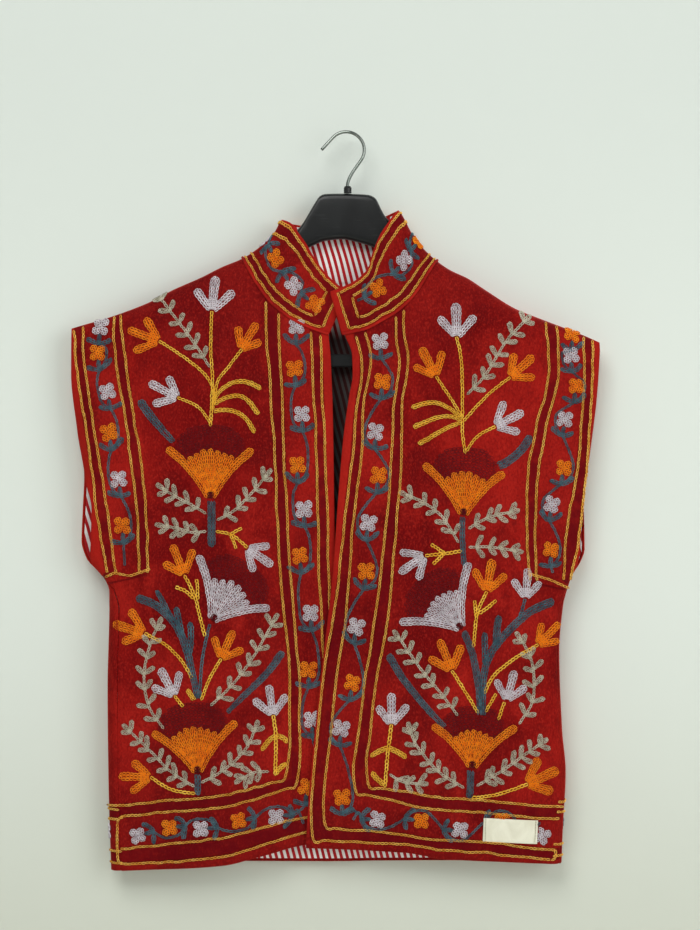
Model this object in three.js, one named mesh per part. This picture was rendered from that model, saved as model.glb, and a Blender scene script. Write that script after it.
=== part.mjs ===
// A velvet jacket with cap shoulders and a standing collar, hanging on a moulded suit hanger.
// Millimetres, +Z up. The front faces -Y, and left and right are as seen from the front.
// The origin is the point under the hook's arc where a nail or a rail carries it.
//
// The jacket hangs flattened, so each piece lies on one of two faces, a front and a back one.
// The faces meet along the shoulder ridge and along the side folds, where they round away.
// A piece is a wall between two depths below such a face.

import * as THREE from 'three';

// Cloth
const VELVET = 2;
const LINING = 1;
const GAP = 0.3;
const LINING_TOP = VELVET + GAP;
const CLOTH = LINING_TOP + LINING;

// How the faces round away, and how the fronts lie on each other
const SHOULDER_ROUND = 24;
const TIGHT_SPOT = { share: 0.02, reach: 6 };
const UNDERLAP_DROP = 5.5;
const UNDERLAP_START = -45;
const UNDERLAP_END = -4;
const CAP_START = 190;
const CAP_END = 290;
const CAP_THINNING = 0.25;

// Depth of the faces in front of and behind the hanger's middle plane
const DEPTH = [
  { up: -800, front: 15, back: 15 },
  { up: -600, front: 20, back: 17 },
  { up: -380, front: 25, back: 18 },
  { up: -220, front: 21, back: 17 },
  { up: -140, front: 18, back: 16 },
  { up: -60, front: 15.5, back: 14 },
];

// The shoulder ridge and, nearer the neck, the collar's folded side
const RIDGE_LEFT = [
  { out: 0, up: -66 },
  { out: 40, up: -78 },
  { out: 67.5, up: -93.5 },
  { out: 77, up: -110 },
  { out: 90, up: -122 },
  { out: 110, up: -135.5 },
  { out: 132, up: -144.7 },
  { out: 154, up: -155.8 },
  { out: 185, up: -169.5 },
  { out: 212, up: -183.5 },
  { out: 252, up: -198.5 },
  { out: 294, up: -211 },
  { out: 320, up: -220 },
];
const RIDGE_RIGHT = [
  { out: 0, up: -58 },
  { out: 36, up: -69 },
  { out: 59.3, up: -83.3 },
  { out: 74, up: -109 },
  { out: 85, up: -123.5 },
  { out: 101, up: -138.5 },
  { out: 115, up: -148 },
  { out: 134, up: -157 },
  { out: 153, up: -169.5 },
  { out: 186, up: -190 },
  { out: 216, up: -202 },
  { out: 255, up: -216.8 },
  { out: 276, up: -226 },
  { out: 300, up: -238 },
];

// The side folds: how far out, how round, and how many degrees round from the back each edge lies.
// Below the underarm the edges meet in the side seam, and above it they are the armhole.
const SIDE_LEFT = [
  { up: -800, fold: 252, round: 16, back: 162, front: 165 },
  { up: -700, fold: 255, round: 16, back: 162, front: 165 },
  { up: -600, fold: 256, round: 16, back: 162, front: 165 },
  { up: -512, fold: 254, round: 16, back: 162, front: 165 },
  { up: -495, fold: 254, round: 16, back: 140, front: 143 },
  { up: -484, fold: 258, round: 18, back: 112, front: 116 },
  { up: -473, fold: 267, round: 22, back: 97, front: 101 },
  { up: -460, fold: 279, round: 30, back: 84, front: 120 },
  { up: -440, fold: 285, round: 36, back: 80, front: 130 },
  { up: -405, fold: 284.5, round: 36, back: 74, front: 130 },
  { up: -375, fold: 285, round: 36, back: 66, front: 118 },
  { up: -320, fold: 291.5, round: 36, back: 60, front: 115 },
  { up: -260, fold: 298, round: 36, back: 60, front: 115 },
  { up: -200, fold: 298, round: 36, back: 60, front: 115 },
];
const SIDE_RIGHT = [
  { up: -800, fold: 235, round: 14, back: 129, front: 133 },
  { up: -750, fold: 237, round: 14, back: 129, front: 133 },
  { up: -691, fold: 240, round: 14, back: 129, front: 133 },
  { up: -644, fold: 236, round: 14, back: 129, front: 133 },
  { up: -560, fold: 233, round: 14, back: 129, front: 133 },
  { up: -512, fold: 237, round: 14, back: 129, front: 133 },
  { up: -495, fold: 241, round: 16, back: 114, front: 118 },
  { up: -478, fold: 247, round: 20, back: 97, front: 101 },
  { up: -464, fold: 256, round: 28, back: 86, front: 118 },
  { up: -450, fold: 261, round: 34, back: 82, front: 126 },
  { up: -430, fold: 261, round: 34, back: 80, front: 128 },
  { up: -400, fold: 261, round: 34, back: 74, front: 120 },
  { up: -360, fold: 266.5, round: 34, back: 66, front: 115 },
  { up: -283, fold: 276.5, round: 34, back: 60, front: 115 },
  { up: -236, fold: 279.7, round: 34, back: 60, front: 115 },
];

// The front edges, which cross so that the right front lies on the left one
const FRONT_EDGE = [
  { up: -800, left: 8, right: -46 },
  { up: -700, left: 3, right: -39 },
  { up: -590, left: -3, right: -27.5 },
  { up: -471, left: -9.5, right: -14 },
  { up: -395, left: -11, right: -8.5 },
  { up: -330, left: -12, right: -3 },
  { up: -285, left: -13, right: 3.2 },
  { up: -262, left: -14, right: 7 },
  { up: -240, left: -15, right: 6.3 },
  { up: -219, left: -16.8, right: -1.5 },
  { up: -172, left: -10, right: -14.5 },
];

// The hems, from left to right
const HEM_LEVEL = -790;
const HEM_LEFT = [
  { x: -256, up: -796.5 },
  { x: -202, up: -794 },
  { x: -130, up: -789.5 },
  { x: -94, up: -781 },
  { x: -46, up: -769 },
  { x: 10, up: -762 },
];
const HEM_RIGHT = [
  { x: -48, up: -769 },
  { x: 62, up: -774 },
  { x: 110, up: -783 },
  { x: 182, up: -786 },
  { x: 238, up: -788.5 },
];
const HEM_BACK = [
  { x: -256, up: -796.5 },
  { x: -200, up: -791 },
  { x: -120, up: -785 },
  { x: 0, up: -784 },
  { x: 120, up: -784 },
  { x: 200, up: -786 },
  { x: 238, up: -788.5 },
];

// The neck seam and the collar's top edge, from each front end out to the folded side
const NECK_LEFT = [
  { out: 16.8, up: -219 },
  { out: 35, up: -212.7 },
  { out: 52.5, up: -205 },
  { out: 66, up: -196 },
  { out: 80.5, up: -183.5 },
  { out: 95, up: -163.5 },
  { out: 103, up: -149 },
  { out: 110, up: -135.5 },
];
const NECK_RIGHT = [
  { out: -1.5, up: -219 },
  { out: 24.5, up: -213 },
  { out: 39.5, up: -205 },
  { out: 55.3, up: -196 },
  { out: 69.3, up: -184 },
  { out: 80.2, up: -171 },
  { out: 89.3, up: -156 },
  { out: 96, up: -145 },
  { out: 101, up: -138.5 },
];
const COLLAR_TOP_LEFT = [
  { out: -3, up: -172 },
  { out: 5.5, up: -166.3 },
  { out: 20, up: -153 },
  { out: 33.3, up: -134.6 },
  { out: 41, up: -121 },
  { out: 48.6, up: -110.5 },
  { out: 57, up: -99 },
  { out: 67.5, up: -93.5 },
];
const COLLAR_TOP_RIGHT = [
  { out: -14.5, up: -173 },
  { out: 9.4, up: -163 },
  { out: 25.4, up: -149 },
  { out: 31, up: -131 },
  { out: 39.4, up: -111.2 },
  { out: 47.3, up: -99.3 },
  { out: 53.4, up: -90.3 },
  { out: 59.3, up: -83.3 },
];
const NECK_BACK = [
  { x: -110, up: -135.5 },
  { x: -105, up: -141 },
  { x: -90, up: -148 },
  { x: -60, up: -156 },
  { x: 0, up: -163 },
  { x: 60, up: -158 },
  { x: 88, up: -150 },
  { x: 98, up: -143.5 },
  { x: 101, up: -138.5 },
];
const COLLAR_TOP_BACK = [
  { x: -67.5, up: -93.5 },
  { x: -60, up: -96.5 },
  { x: -40, up: -100 },
  { x: 0, up: -106 },
  { x: 38, up: -92 },
  { x: 53, up: -85.5 },
  { x: 59.3, up: -83.3 },
];

// How finely the cloth is faceted
const NECK_STEPS = 5;
const SHOULDER_STEPS = 5;
const FRONT_EDGE_STEPS = 3;
const BACK_EDGE_STEPS = 5;
const COLLAR_ROWS = [0.008, 0.25, 0.5, 0.75, 1];
const BODY_ROWS = [0, 0.13, 0.27, 0.4, 0.51, 0.543, 0.575, 0.605, 0.64, 0.7, 0.8, 0.9, 1];
const RIDGE_DEGREES = [65, 42, 21, 0];

// The label on the right front's hem band
const LABEL = { x: 179, up: -752.5, width: 58, height: 25, turn: -2.5, thickness: 0.8, columns: 5, rows: 3 };

// The hanger's plate as sections along X: a rounded crown, flat sides and a rounded foot
const PLATE = [
  { x: -90, top: -130, crown: 18, bottom: -153, front: 8, back: 8 },
  { x: -72, top: -118, crown: 14, bottom: -142, front: 7, back: 7 },
  { x: -52, top: -106, crown: 8, bottom: -132, front: 6.5, back: 6.5 },
  { x: -44.5, top: -97.4, crown: 5, bottom: -127, front: 6.5, back: 6.5 },
  { x: -28, top: -69, crown: 5, bottom: -119, front: 6.5, back: 6.5 },
  { x: -22, top: -65.3, crown: 5, bottom: -116.5, front: 6.5, back: 6.5 },
  { x: 0, top: -65, crown: 5, bottom: -114, front: 6.5, back: 6.5 },
  { x: 28, top: -66.2, crown: 5, bottom: -121.5, front: 6.5, back: 6.5 },
  { x: 35, top: -70.4, crown: 5, bottom: -125, front: 6.5, back: 6.5 },
  { x: 43.4, top: -88.3, crown: 5, bottom: -131, front: 6.5, back: 6.5 },
  { x: 52, top: -97.5, crown: 8, bottom: -137, front: 6.5, back: 6.5 },
  { x: 72, top: -119, crown: 14, bottom: -149, front: 7, back: 7 },
  { x: 85, top: -132.5, crown: 18, bottom: -157, front: 8, back: 7.5 },
];
// The arms, just under the lining of the shoulders
const ARM = [
  { out: 108, crown: 20, height: 25, front: 10.5, back: 9.5 },
  { out: 128, crown: 20, height: 28, front: 13, back: 11.5 },
  { out: 190, crown: 20, height: 28, front: 13, back: 11.5 },
  { out: 200, crown: 15, height: 23, front: 11, back: 9.5 },
  { out: 206, crown: 8, height: 14, front: 7, back: 6 },
];
const ARM_STATIONS = [108, 119, 130, 142, 154, 166, 178, 190, 199, 204, 206];
const ARM_SEAT = 1.1;
const HANGER_FOOT = 6;
const HANGER_SIDES = 16;
const WIRE_SIDES = 10;
const HOOK_STEPS = 44;
const BAR_STEPS = 44;
const BAR = { up: -246, height: 14, thickness: 7, chamfer: 1.5, reach: 176, post: 8, bend: 26 };

// The hook: a tip, an arc over the nail and a slanted leg down to the stem
const WIRE = 3.4;
const HOOK = { x: 2.3, up: -17.9, radius: 19.6, from: 137, to: -35 };
const HOOK_TIP = { x: -23.5, up: -17 };
const HOOK_LEG = { x: 8.5, up: -43.5 };
const STEM = { x: 4, top: -54, foot: -64.6 };
const FERRULE = { outer: 4.3, inner: 2.1, top: -57.2, chamfer: 2, foot: -64.7, sides: 12 };

// A smooth curve through a table's rows that never overshoots them, and its slope
function through(rows, key, value) {
  const at = rows.map((row) => row[key]);
  const level = rows.map((row) => row[value]);
  const rise = at.slice(1).map((place, i) => (level[i + 1] - level[i]) / (place - at[i]));
  const slope = level.map((_, i) => {
    if (i === 0) return rise[0];
    if (i === rise.length) return rise[i - 1];
    return rise[i - 1] * rise[i] <= 0 ? 0 : (2 * rise[i - 1] * rise[i]) / (rise[i - 1] + rise[i]);
  });
  const curve = (place) => {
    const held = Math.min(Math.max(place, at[0]), at[at.length - 1]);
    const i = Math.min(at.findLastIndex((start) => start <= held), rise.length - 1);
    const span = at[i + 1] - at[i];
    const t = (held - at[i]) / span;
    const straight = level[i] + (level[i + 1] - level[i]) * t * t * (3 - 2 * t);
    return straight + span * t * (1 - t) * (slope[i] * (1 - t) - slope[i + 1] * t);
  };
  curve.slope = (place) => curve(place + 0.5) - curve(place - 0.5);
  return curve;
}

// A spline through a table's rows in the XZ plane, with the side's sign on its first column
function splineThrough(rows, sign = 1) {
  const key = 'out' in rows[0] ? 'out' : 'x';
  return new THREE.SplineCurve(rows.map((row) => new THREE.Vector2(sign * row[key], row.up)));
}

const { lerp, clamp, smoothstep, degToRad } = THREE.MathUtils;
const depthInFront = through(DEPTH, 'up', 'front');
const depthBehind = through(DEPTH, 'up', 'back');
const rightEdge = through(FRONT_EDGE, 'up', 'right');

function makeSide(sign, ridge, side, edge) {
  return {
    sign,
    ridge: through(ridge, 'out', 'up'),
    fold: through(side, 'up', 'fold'),
    round: through(side, 'up', 'round'),
    backTurn: through(side, 'up', 'back'),
    frontTurn: through(side, 'up', 'front'),
    frontEdge: through(FRONT_EDGE, 'up', edge),
  };
}
const LEFT = makeSide(-1, RIDGE_LEFT, SIDE_LEFT, 'left');
const RIGHT = makeSide(1, RIDGE_RIGHT, SIDE_RIGHT, 'right');

// How deep a face lies, front (-1) or back (1); the left front dips under the right one
function faceDepth(side, face, out, up) {
  const cap = 1 - CAP_THINNING * smoothstep(out, CAP_START, CAP_END);
  if (face > 0) return depthBehind(up) * cap;
  const lap = side.sign * out - rightEdge(up);
  const drop = side === LEFT ? UNDERLAP_DROP * smoothstep(lap, UNDERLAP_START, UNDERLAP_END) : 0;
  return depthInFront(up) * cap - drop;
}

// A point a given depth below a face; turn is its angle round the side fold, in degrees
function pointBelow(side, face, out, up, turn, below) {
  const angle = degToRad(turn);
  const ahead = Math.cos(angle) < 0 ? -face : face;
  const slope = side.ridge.slope(out);
  const lean = Math.hypot(1, slope);
  const nearRidge = clamp(1 - (side.ridge(out) - up) / (lean * SHOULDER_ROUND), 0, 1);
  const nearSide = Math.sin(angle);
  const ridgeFall = 1 - nearRidge * nearRidge;
  const sideFall = 1 - nearSide * nearSide;
  const depth = faceDepth(side, ahead, out, up);
  const height = Math.sqrt(ridgeFall * sideFall);
  const upward = (nearRidge * sideFall) / (lean * SHOULDER_ROUND);
  const outward = (nearSide * ridgeFall) / side.round(up) - upward * slope;
  const [dx, dy, dz] = new THREE.Vector3(outward, height / depth, upward).normalize().multiplyScalar(below);
  const leastAway = depth * height * TIGHT_SPOT.share * (TIGHT_SPOT.reach - below);
  const away = Math.max(depth * height - dy, leastAway);
  return new THREE.Vector3(side.sign * (out - dx), face * (GAP / 2) + ahead * away, up - dz);
}

// The geometry of one closed solid, from its triangles' corners, with its faces pointing out
function solid(positions, indices) {
  const geometry = new THREE.BufferGeometry();
  const corners = positions.flatMap((point) => point.toArray());
  geometry.setAttribute('position', new THREE.Float32BufferAttribute(corners, 3));
  let volume = 0;
  for (let i = 0; i < indices.length; i += 3) {
    const [a, b, c] = [positions[indices[i]], positions[indices[i + 1]], positions[indices[i + 2]]];
    volume += a.dot(new THREE.Vector3().crossVectors(b, c));
  }
  geometry.setIndex(volume < 0 ? indices.reverse() : indices);
  geometry.computeVertexNormals();
  return geometry;
}

// A wall of cloth over a grid of columns and rows; at(column, row, depth) gives its points
function clothWall(columns, rows, at, outer, inner) {
  const positions = [];
  for (const depth of [outer, inner]) {
    for (let i = 0; i < columns; i += 1) {
      for (let j = 0; j < rows; j += 1) positions.push(at(i, j, depth));
    }
  }
  const skin = columns * rows;
  const indices = [];
  const quad = (a, b, c, d) => indices.push(a, b, c, a, c, d);
  const id = (i, j, layer) => layer * skin + i * rows + j;
  for (let i = 0; i < columns - 1; i += 1) {
    for (let j = 0; j < rows - 1; j += 1) {
      quad(id(i, j, 0), id(i + 1, j, 0), id(i + 1, j + 1, 0), id(i, j + 1, 0));
      quad(id(i, j, 1), id(i, j + 1, 1), id(i + 1, j + 1, 1), id(i + 1, j, 1));
    }
    quad(id(i + 1, 0, 0), id(i, 0, 0), id(i, 0, 1), id(i + 1, 0, 1));
    quad(id(i, rows - 1, 0), id(i + 1, rows - 1, 0), id(i + 1, rows - 1, 1), id(i, rows - 1, 1));
  }
  for (let j = 0; j < rows - 1; j += 1) {
    quad(id(0, j, 0), id(0, j + 1, 0), id(0, j + 1, 1), id(0, j, 1));
    quad(id(columns - 1, j + 1, 0), id(columns - 1, j, 0), id(columns - 1, j, 1), id(columns - 1, j + 1, 1));
  }
  return solid(positions, indices);
}

// Where a column ends at the top, if no neck seam ends it lower: on the shoulder ridge
function ridgeAbove(side, outAt) {
  const tries = 8;
  let up = side.ridge(CAP_START);
  for (let i = 0; i < tries; i += 1) up = side.ridge(outAt(up));
  return up;
}

// Heights down one column, close together at the underarm and where the shoulder rounds away
function columnHeights(side, hem, top, out) {
  const rounding = SHOULDER_ROUND * Math.hypot(1, side.ridge.slope(out));
  const body = BODY_ROWS.map((share) => lerp(hem, top - rounding, share));
  const crown = RIDGE_DEGREES.map((degrees) => top - rounding * (1 - Math.cos(degToRad(degrees))));
  return [...body, ...crown];
}

// A column is a line up a panel: where it stands at each height, and its heights
function makeColumn(side, face, hem, place, neckPoint) {
  const outAt = (up) => place(up).out;
  const top = neckPoint ? neckPoint.y : ridgeAbove(side, outAt);
  const heights = columnHeights(side, hem(side.sign * outAt(HEM_LEVEL)), top, outAt(top));
  return (row, below) => {
    const { out, turn } = place(heights[row]);
    return pointBelow(side, face, out, heights[row], turn, below);
  };
}
const PANEL_ROWS = BODY_ROWS.length + RIDGE_DEGREES.length;

// Shares from 0 to 1 along a neck seam, close together where it reaches the folded side
const TO_FOLD = Array.from({ length: NECK_STEPS + 1 }, (_, i) => Math.sin((i / NECK_STEPS) * (Math.PI / 2)));
const ACROSS_BACK = [
  ...TO_FOLD.map((share) => (1 - share) / 2).reverse(),
  ...TO_FOLD.slice(1).map((share) => (1 + share) / 2),
];

// Columns of a front: along the neck seam, across the shoulder and round to the outer edge
function frontColumns(side, neck, hem) {
  const flatEnd = (up) => side.fold(up) - side.round(up);
  const flatAt = (share) => (up) => ({
    out: lerp(side.sign * side.frontEdge(up), flatEnd(up), share),
    turn: 0,
  });
  const edgeAt = (share) => (up) => {
    const turn = share * (180 - side.frontTurn(up));
    return { out: flatEnd(up) + side.round(up) * Math.sin(degToRad(turn)), turn };
  };
  const curve = splineThrough(neck);
  const columns = [];
  let neckShare = 0;
  for (const along of TO_FOLD) {
    const point = curve.getPointAt(along);
    const inner = side.sign * side.frontEdge(point.y);
    neckShare = clamp((point.x - inner) / (flatEnd(point.y) - inner), 0, 1);
    columns.push(makeColumn(side, -1, hem, flatAt(neckShare), point));
  }
  for (let i = 1; i <= SHOULDER_STEPS; i += 1) {
    columns.push(makeColumn(side, -1, hem, flatAt(lerp(neckShare, 1, i / SHOULDER_STEPS))));
  }
  for (let i = 1; i <= FRONT_EDGE_STEPS; i += 1) {
    columns.push(makeColumn(side, -1, hem, edgeAt(i / FRONT_EDGE_STEPS)));
  }
  return columns;
}

// Columns of the back, from the left side seam across to the right one
function backColumns() {
  const hem = through(HEM_BACK, 'x', 'up');
  const curve = splineThrough(NECK_BACK);
  const neckPoints = ACROSS_BACK.map((along) => curve.getPointAt(along));
  const half = (side, points) => {
    const flatEnd = (up) => side.fold(up) - side.round(up);
    const flatAt = (share) => (up) => ({ out: share * flatEnd(up), turn: 0 });
    const edgeAt = (share) => (up) => {
      const turn = share * side.backTurn(up);
      return { out: flatEnd(up) + side.round(up) * Math.sin(degToRad(turn)), turn };
    };
    const columns = [];
    let neckShare = 0;
    for (const point of points) {
      neckShare = Math.abs(point.x) / flatEnd(point.y);
      columns.push(makeColumn(side, 1, hem, flatAt(neckShare), point));
    }
    for (let i = 1; i < SHOULDER_STEPS; i += 1) {
      columns.push(makeColumn(side, 1, hem, flatAt(lerp(neckShare, 1, i / (SHOULDER_STEPS - 1)))));
    }
    for (let i = 1; i <= BACK_EDGE_STEPS; i += 1) {
      columns.push(makeColumn(side, 1, hem, edgeAt(i / BACK_EDGE_STEPS)));
    }
    return columns;
  };
  const left = half(LEFT, neckPoints.filter((point) => point.x < 0).reverse());
  const right = half(RIGHT, neckPoints.filter((point) => point.x >= 0));
  return [...left.reverse(), ...right];
}

// The collar as a ring of stations from its left front end round the back to its right one
function collarStations() {
  const stations = [];
  const place = (side, face, seam, edge) => stations.push({ side, face, seam, edge });
  const run = (side, seamRows, edgeRows) => {
    const seam = splineThrough(seamRows);
    const edge = splineThrough(edgeRows);
    return TO_FOLD.map((along) => [seam.getPointAt(along), edge.getPointAt(along)]);
  };
  for (const [seam, edge] of run(LEFT, NECK_LEFT, COLLAR_TOP_LEFT)) place(LEFT, -1, seam, edge);
  const seamBack = splineThrough(NECK_BACK);
  const edgeBack = splineThrough(COLLAR_TOP_BACK);
  for (const along of ACROSS_BACK.slice(1, -1)) {
    const seam = seamBack.getPointAt(along);
    const edge = edgeBack.getPointAt(along);
    const side = seam.x < 0 ? LEFT : RIGHT;
    const outward = (point) => new THREE.Vector2(side.sign * point.x, point.y);
    place(side, 1, outward(seam), outward(edge));
  }
  for (const [seam, edge] of run(RIGHT, NECK_RIGHT, COLLAR_TOP_RIGHT).reverse()) place(RIGHT, -1, seam, edge);
  return stations;
}
const COLLAR_STATIONS = collarStations();

// Where the seam and the top edge end at the collar's folded sides
const endOf = (rows) => new THREE.Vector2(rows.at(-1).x, rows.at(-1).up);
const COLLAR_FOLDS = new Map([
  [LEFT, [NECK_LEFT, COLLAR_TOP_LEFT].map(endOf)],
  [RIGHT, [NECK_RIGHT, COLLAR_TOP_RIGHT].map(endOf)],
]);
const SAG_REACH = 28;

// Beside its folded sides the collar sags with the ridge, which hangs below a straight line there
function collarSag(side, share, spot) {
  const [seam, edge] = COLLAR_FOLDS.get(side);
  const fold = seam.clone().lerp(edge, share);
  const away = spot.distanceTo(fold) / SAG_REACH;
  return Math.max(0, fold.y - side.ridge(fold.x)) * Math.exp(-(away ** 2));
}

function collarPoint(column, row, below) {
  const { side, face, seam, edge } = COLLAR_STATIONS[column];
  const spot = seam.clone().lerp(edge, COLLAR_ROWS[row]);
  const sag = collarSag(side, COLLAR_ROWS[row], spot);
  return pointBelow(side, face, spot.x, spot.y - sag, 0, below);
}

// The label's points lie on the right front's face, moved out
function labelPoint(column, row, below) {
  const across = (column / (LABEL.columns - 1) - 0.5) * LABEL.width;
  const rise = (row / (LABEL.rows - 1) - 0.5) * LABEL.height;
  const spot = new THREE.Vector2(across, rise).rotateAround(new THREE.Vector2(), degToRad(LABEL.turn));
  return pointBelow(RIGHT, -1, LABEL.x + spot.x, LABEL.up + spot.y, 0, below);
}

// The hanger's arm at a distance out: its crown lies just under the shoulder's lining
function armSection(side, out) {
  const size = (key) => through(ARM, 'out', key)(out);
  const top = side.ridge(out) - CLOTH * Math.hypot(1, side.ridge.slope(out)) - ARM_SEAT;
  return {
    x: side.sign * out,
    top,
    crown: size('crown'),
    bottom: top - size('height'),
    front: size('front'),
    back: size('back'),
  };
}
const HANGER = [
  ...ARM_STATIONS.map((out) => armSection(LEFT, out)).reverse(),
  ...PLATE,
  ...ARM_STATIONS.map((out) => armSection(RIGHT, out)),
];

// The hanger's plate and arms: sections joined along X
function hangerBody() {
  const positions = [];
  for (const { x, top, crown, bottom, front, back } of HANGER) {
    for (let i = 0; i < HANGER_SIDES; i += 1) {
      const angle = ((i + 0.5) / HANGER_SIDES) * 2 * Math.PI;
      const y = Math.cos(angle) * (Math.cos(angle) < 0 ? front : back);
      const rise = Math.sin(angle);
      const z = rise > 0 ? top - crown * (1 - rise) : bottom + HANGER_FOOT * (1 + rise);
      positions.push(new THREE.Vector3(x, y, z));
    }
  }
  const indices = [];
  const last = (HANGER.length - 1) * HANGER_SIDES;
  for (let i = 0; i < HANGER_SIDES; i += 1) {
    const next = (i + 1) % HANGER_SIDES;
    for (let start = 0; start < last; start += HANGER_SIDES) {
      const [a, b] = [start + i, start + next];
      indices.push(a, b, b + HANGER_SIDES, a, b + HANGER_SIDES, a + HANGER_SIDES);
    }
    if (i > 0 && i < HANGER_SIDES - 1) {
      indices.push(0, next, i, last, last + i, last + next);
    }
  }
  return solid(positions, indices);
}

// A rod of a given section along a path
function rod(section, path, steps) {
  return new THREE.ExtrudeGeometry(section, { steps, bevelEnabled: false, extrudePath: path });
}

function roundSection(radius, sides) {
  const points = Array.from({ length: sides }, (_, i) => {
    const angle = (i / sides) * 2 * Math.PI;
    return new THREE.Vector2(radius * Math.cos(angle), radius * Math.sin(angle));
  });
  return new THREE.Shape(points);
}

function hookPath() {
  const points = [new THREE.Vector3(HOOK_TIP.x, 0, HOOK_TIP.up)];
  const { x, up, radius, from, to } = HOOK;
  const arcSteps = 12;
  for (let i = 0; i <= arcSteps; i += 1) {
    const angle = degToRad(lerp(from, to, i / arcSteps));
    points.push(new THREE.Vector3(x + radius * Math.cos(angle), 0, up + radius * Math.sin(angle)));
  }
  points.push(new THREE.Vector3(HOOK_LEG.x, 0, HOOK_LEG.up));
  points.push(new THREE.Vector3(STEM.x, 0, STEM.top));
  points.push(new THREE.Vector3(STEM.x, 0, STEM.foot));
  return new THREE.CatmullRomCurve3(points, false, 'centripetal');
}

function barPath() {
  const { up, reach, post, bend } = BAR;
  const points = [LEFT, RIGHT].map((side) => {
    const { sign } = side;
    const foot = armSection(side, reach + BAR.height / 2).bottom - GAP;
    return [
      new THREE.Vector3(sign * reach, 0, foot),
      new THREE.Vector3(sign * reach, 0, foot - post),
      new THREE.Vector3(sign * (reach - bend / 5), 0, up + bend / 4),
      new THREE.Vector3(sign * (reach - bend), 0, up),
    ];
  });
  const [left, right] = points;
  const middle = new THREE.Vector3(0, 0, up);
  return new THREE.CatmullRomCurve3([...left, middle, ...right.reverse()], false, 'centripetal');
}

function barSection() {
  const [h, t, c] = [BAR.height / 2, BAR.thickness / 2, BAR.chamfer];
  const half = [[t - c, h], [t, h - c], [t, c - h], [t - c, -h]];
  const corners = [...half, ...half.map(([across, up]) => [-across, -up])];
  return new THREE.Shape(corners.map(([across, up]) => new THREE.Vector2(across, up)));
}

function ferrule() {
  const { outer, inner, top, chamfer, foot, sides } = FERRULE;
  const shoulder = [[outer, top - chamfer], [outer - chamfer / 2, top]];
  const profile = [[inner, foot], [outer, foot], ...shoulder, [inner, top], [inner, foot]];
  return new THREE.LatheGeometry(profile.map(([radius, up]) => new THREE.Vector2(radius, up)), sides);
}

// Materials
function finish(color, roughness, metalness = 0) {
  return new THREE.MeshStandardMaterial({ color, roughness, metalness });
}
const velvet = finish(0x8f1a14, 0.9);
const striped = finish(0xd9a8a4, 0.85);
const woven = finish(0xd6d3bd, 0.8);
const blackPlastic = finish(0x26282a, 0.38);
const chrome = finish(0xb9bcbc, 0.2, 1);

const jacket = new THREE.Group();
function add(name, geometry, material) {
  const mesh = new THREE.Mesh(geometry, material);
  mesh.name = name;
  jacket.add(mesh);
  return mesh;
}

const panels = {
  front_left: frontColumns(LEFT, NECK_LEFT, through(HEM_LEFT, 'x', 'up')),
  front_right: frontColumns(RIGHT, NECK_RIGHT, through(HEM_RIGHT, 'x', 'up')),
  back: backColumns(),
};
for (const [name, columns] of Object.entries(panels)) {
  const at = (i, j, below) => columns[i](j, below);
  add(name, clothWall(columns.length, PANEL_ROWS, at, 0, VELVET), velvet);
  add(`lining_${name}`, clothWall(columns.length, PANEL_ROWS, at, LINING_TOP, CLOTH), striped);
}
function collarWall(outer, inner) {
  return clothWall(COLLAR_STATIONS.length, COLLAR_ROWS.length, collarPoint, outer, inner);
}
add('collar', collarWall(0, VELVET), velvet);
add('collar_lining', collarWall(LINING_TOP, CLOTH), striped);
add('hem_label', clothWall(LABEL.columns, LABEL.rows, labelPoint, -GAP - LABEL.thickness, -GAP), woven);
add('hanger_body', hangerBody(), blackPlastic);
add('hanger_bar', rod(barSection(), barPath(), BAR_STEPS), blackPlastic);
const collet = add('hanger_ferrule', ferrule(), blackPlastic);
collet.position.x = STEM.x;
collet.rotation.x = Math.PI / 2;
add('hook', rod(roundSection(WIRE / 2, WIRE_SIDES), hookPath(), HOOK_STEPS), chrome);

export default jacket;
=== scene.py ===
"""A velvet jacket with cap shoulders and a standing collar, hanging on a moulded suit hanger."""

import math
from types import SimpleNamespace

import bpy
import numpy as np
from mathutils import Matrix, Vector


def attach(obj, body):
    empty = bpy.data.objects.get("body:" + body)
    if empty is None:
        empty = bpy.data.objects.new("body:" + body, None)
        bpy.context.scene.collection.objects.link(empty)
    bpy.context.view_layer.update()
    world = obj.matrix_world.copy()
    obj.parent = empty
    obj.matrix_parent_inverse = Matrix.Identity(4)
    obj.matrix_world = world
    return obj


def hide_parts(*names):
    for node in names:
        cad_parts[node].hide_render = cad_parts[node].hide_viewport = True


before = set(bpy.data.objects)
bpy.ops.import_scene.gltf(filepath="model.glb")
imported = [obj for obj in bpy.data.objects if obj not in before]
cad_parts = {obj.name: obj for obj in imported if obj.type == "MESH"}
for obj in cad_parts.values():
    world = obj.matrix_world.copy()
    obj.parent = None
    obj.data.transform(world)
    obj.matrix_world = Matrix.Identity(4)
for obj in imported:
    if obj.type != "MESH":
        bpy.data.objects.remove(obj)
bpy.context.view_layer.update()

# Tables are in millimetres, with X to the right, Z up and the front facing -Y.
# The origin lies under the hook's arc. Left and right are as seen from the front.
MM = 0.001

# Cloth
VELVET = 2
LINING = 1
GAP = 0.3
LINING_TOP = VELVET + GAP
CLOTH = LINING_TOP + LINING
SHOULDER_ROUND = 24
TIGHT_SHARE, TIGHT_REACH = 0.02, 6
UNDERLAP_DROP, UNDERLAP_START, UNDERLAP_END = 5.5, -45, -4
CAP_START, CAP_END, CAP_THINNING = 190, 290, 0.25
HEM_LEVEL = -790

# Depth of the faces in front of and behind the hanger's middle plane
DEPTH = {
    "up": (-800, -600, -380, -220, -140, -60),
    "front": (15, 20, 25, 21, 18, 15.5),
    "back": (15, 17, 18, 17, 16, 14),
}

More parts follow.
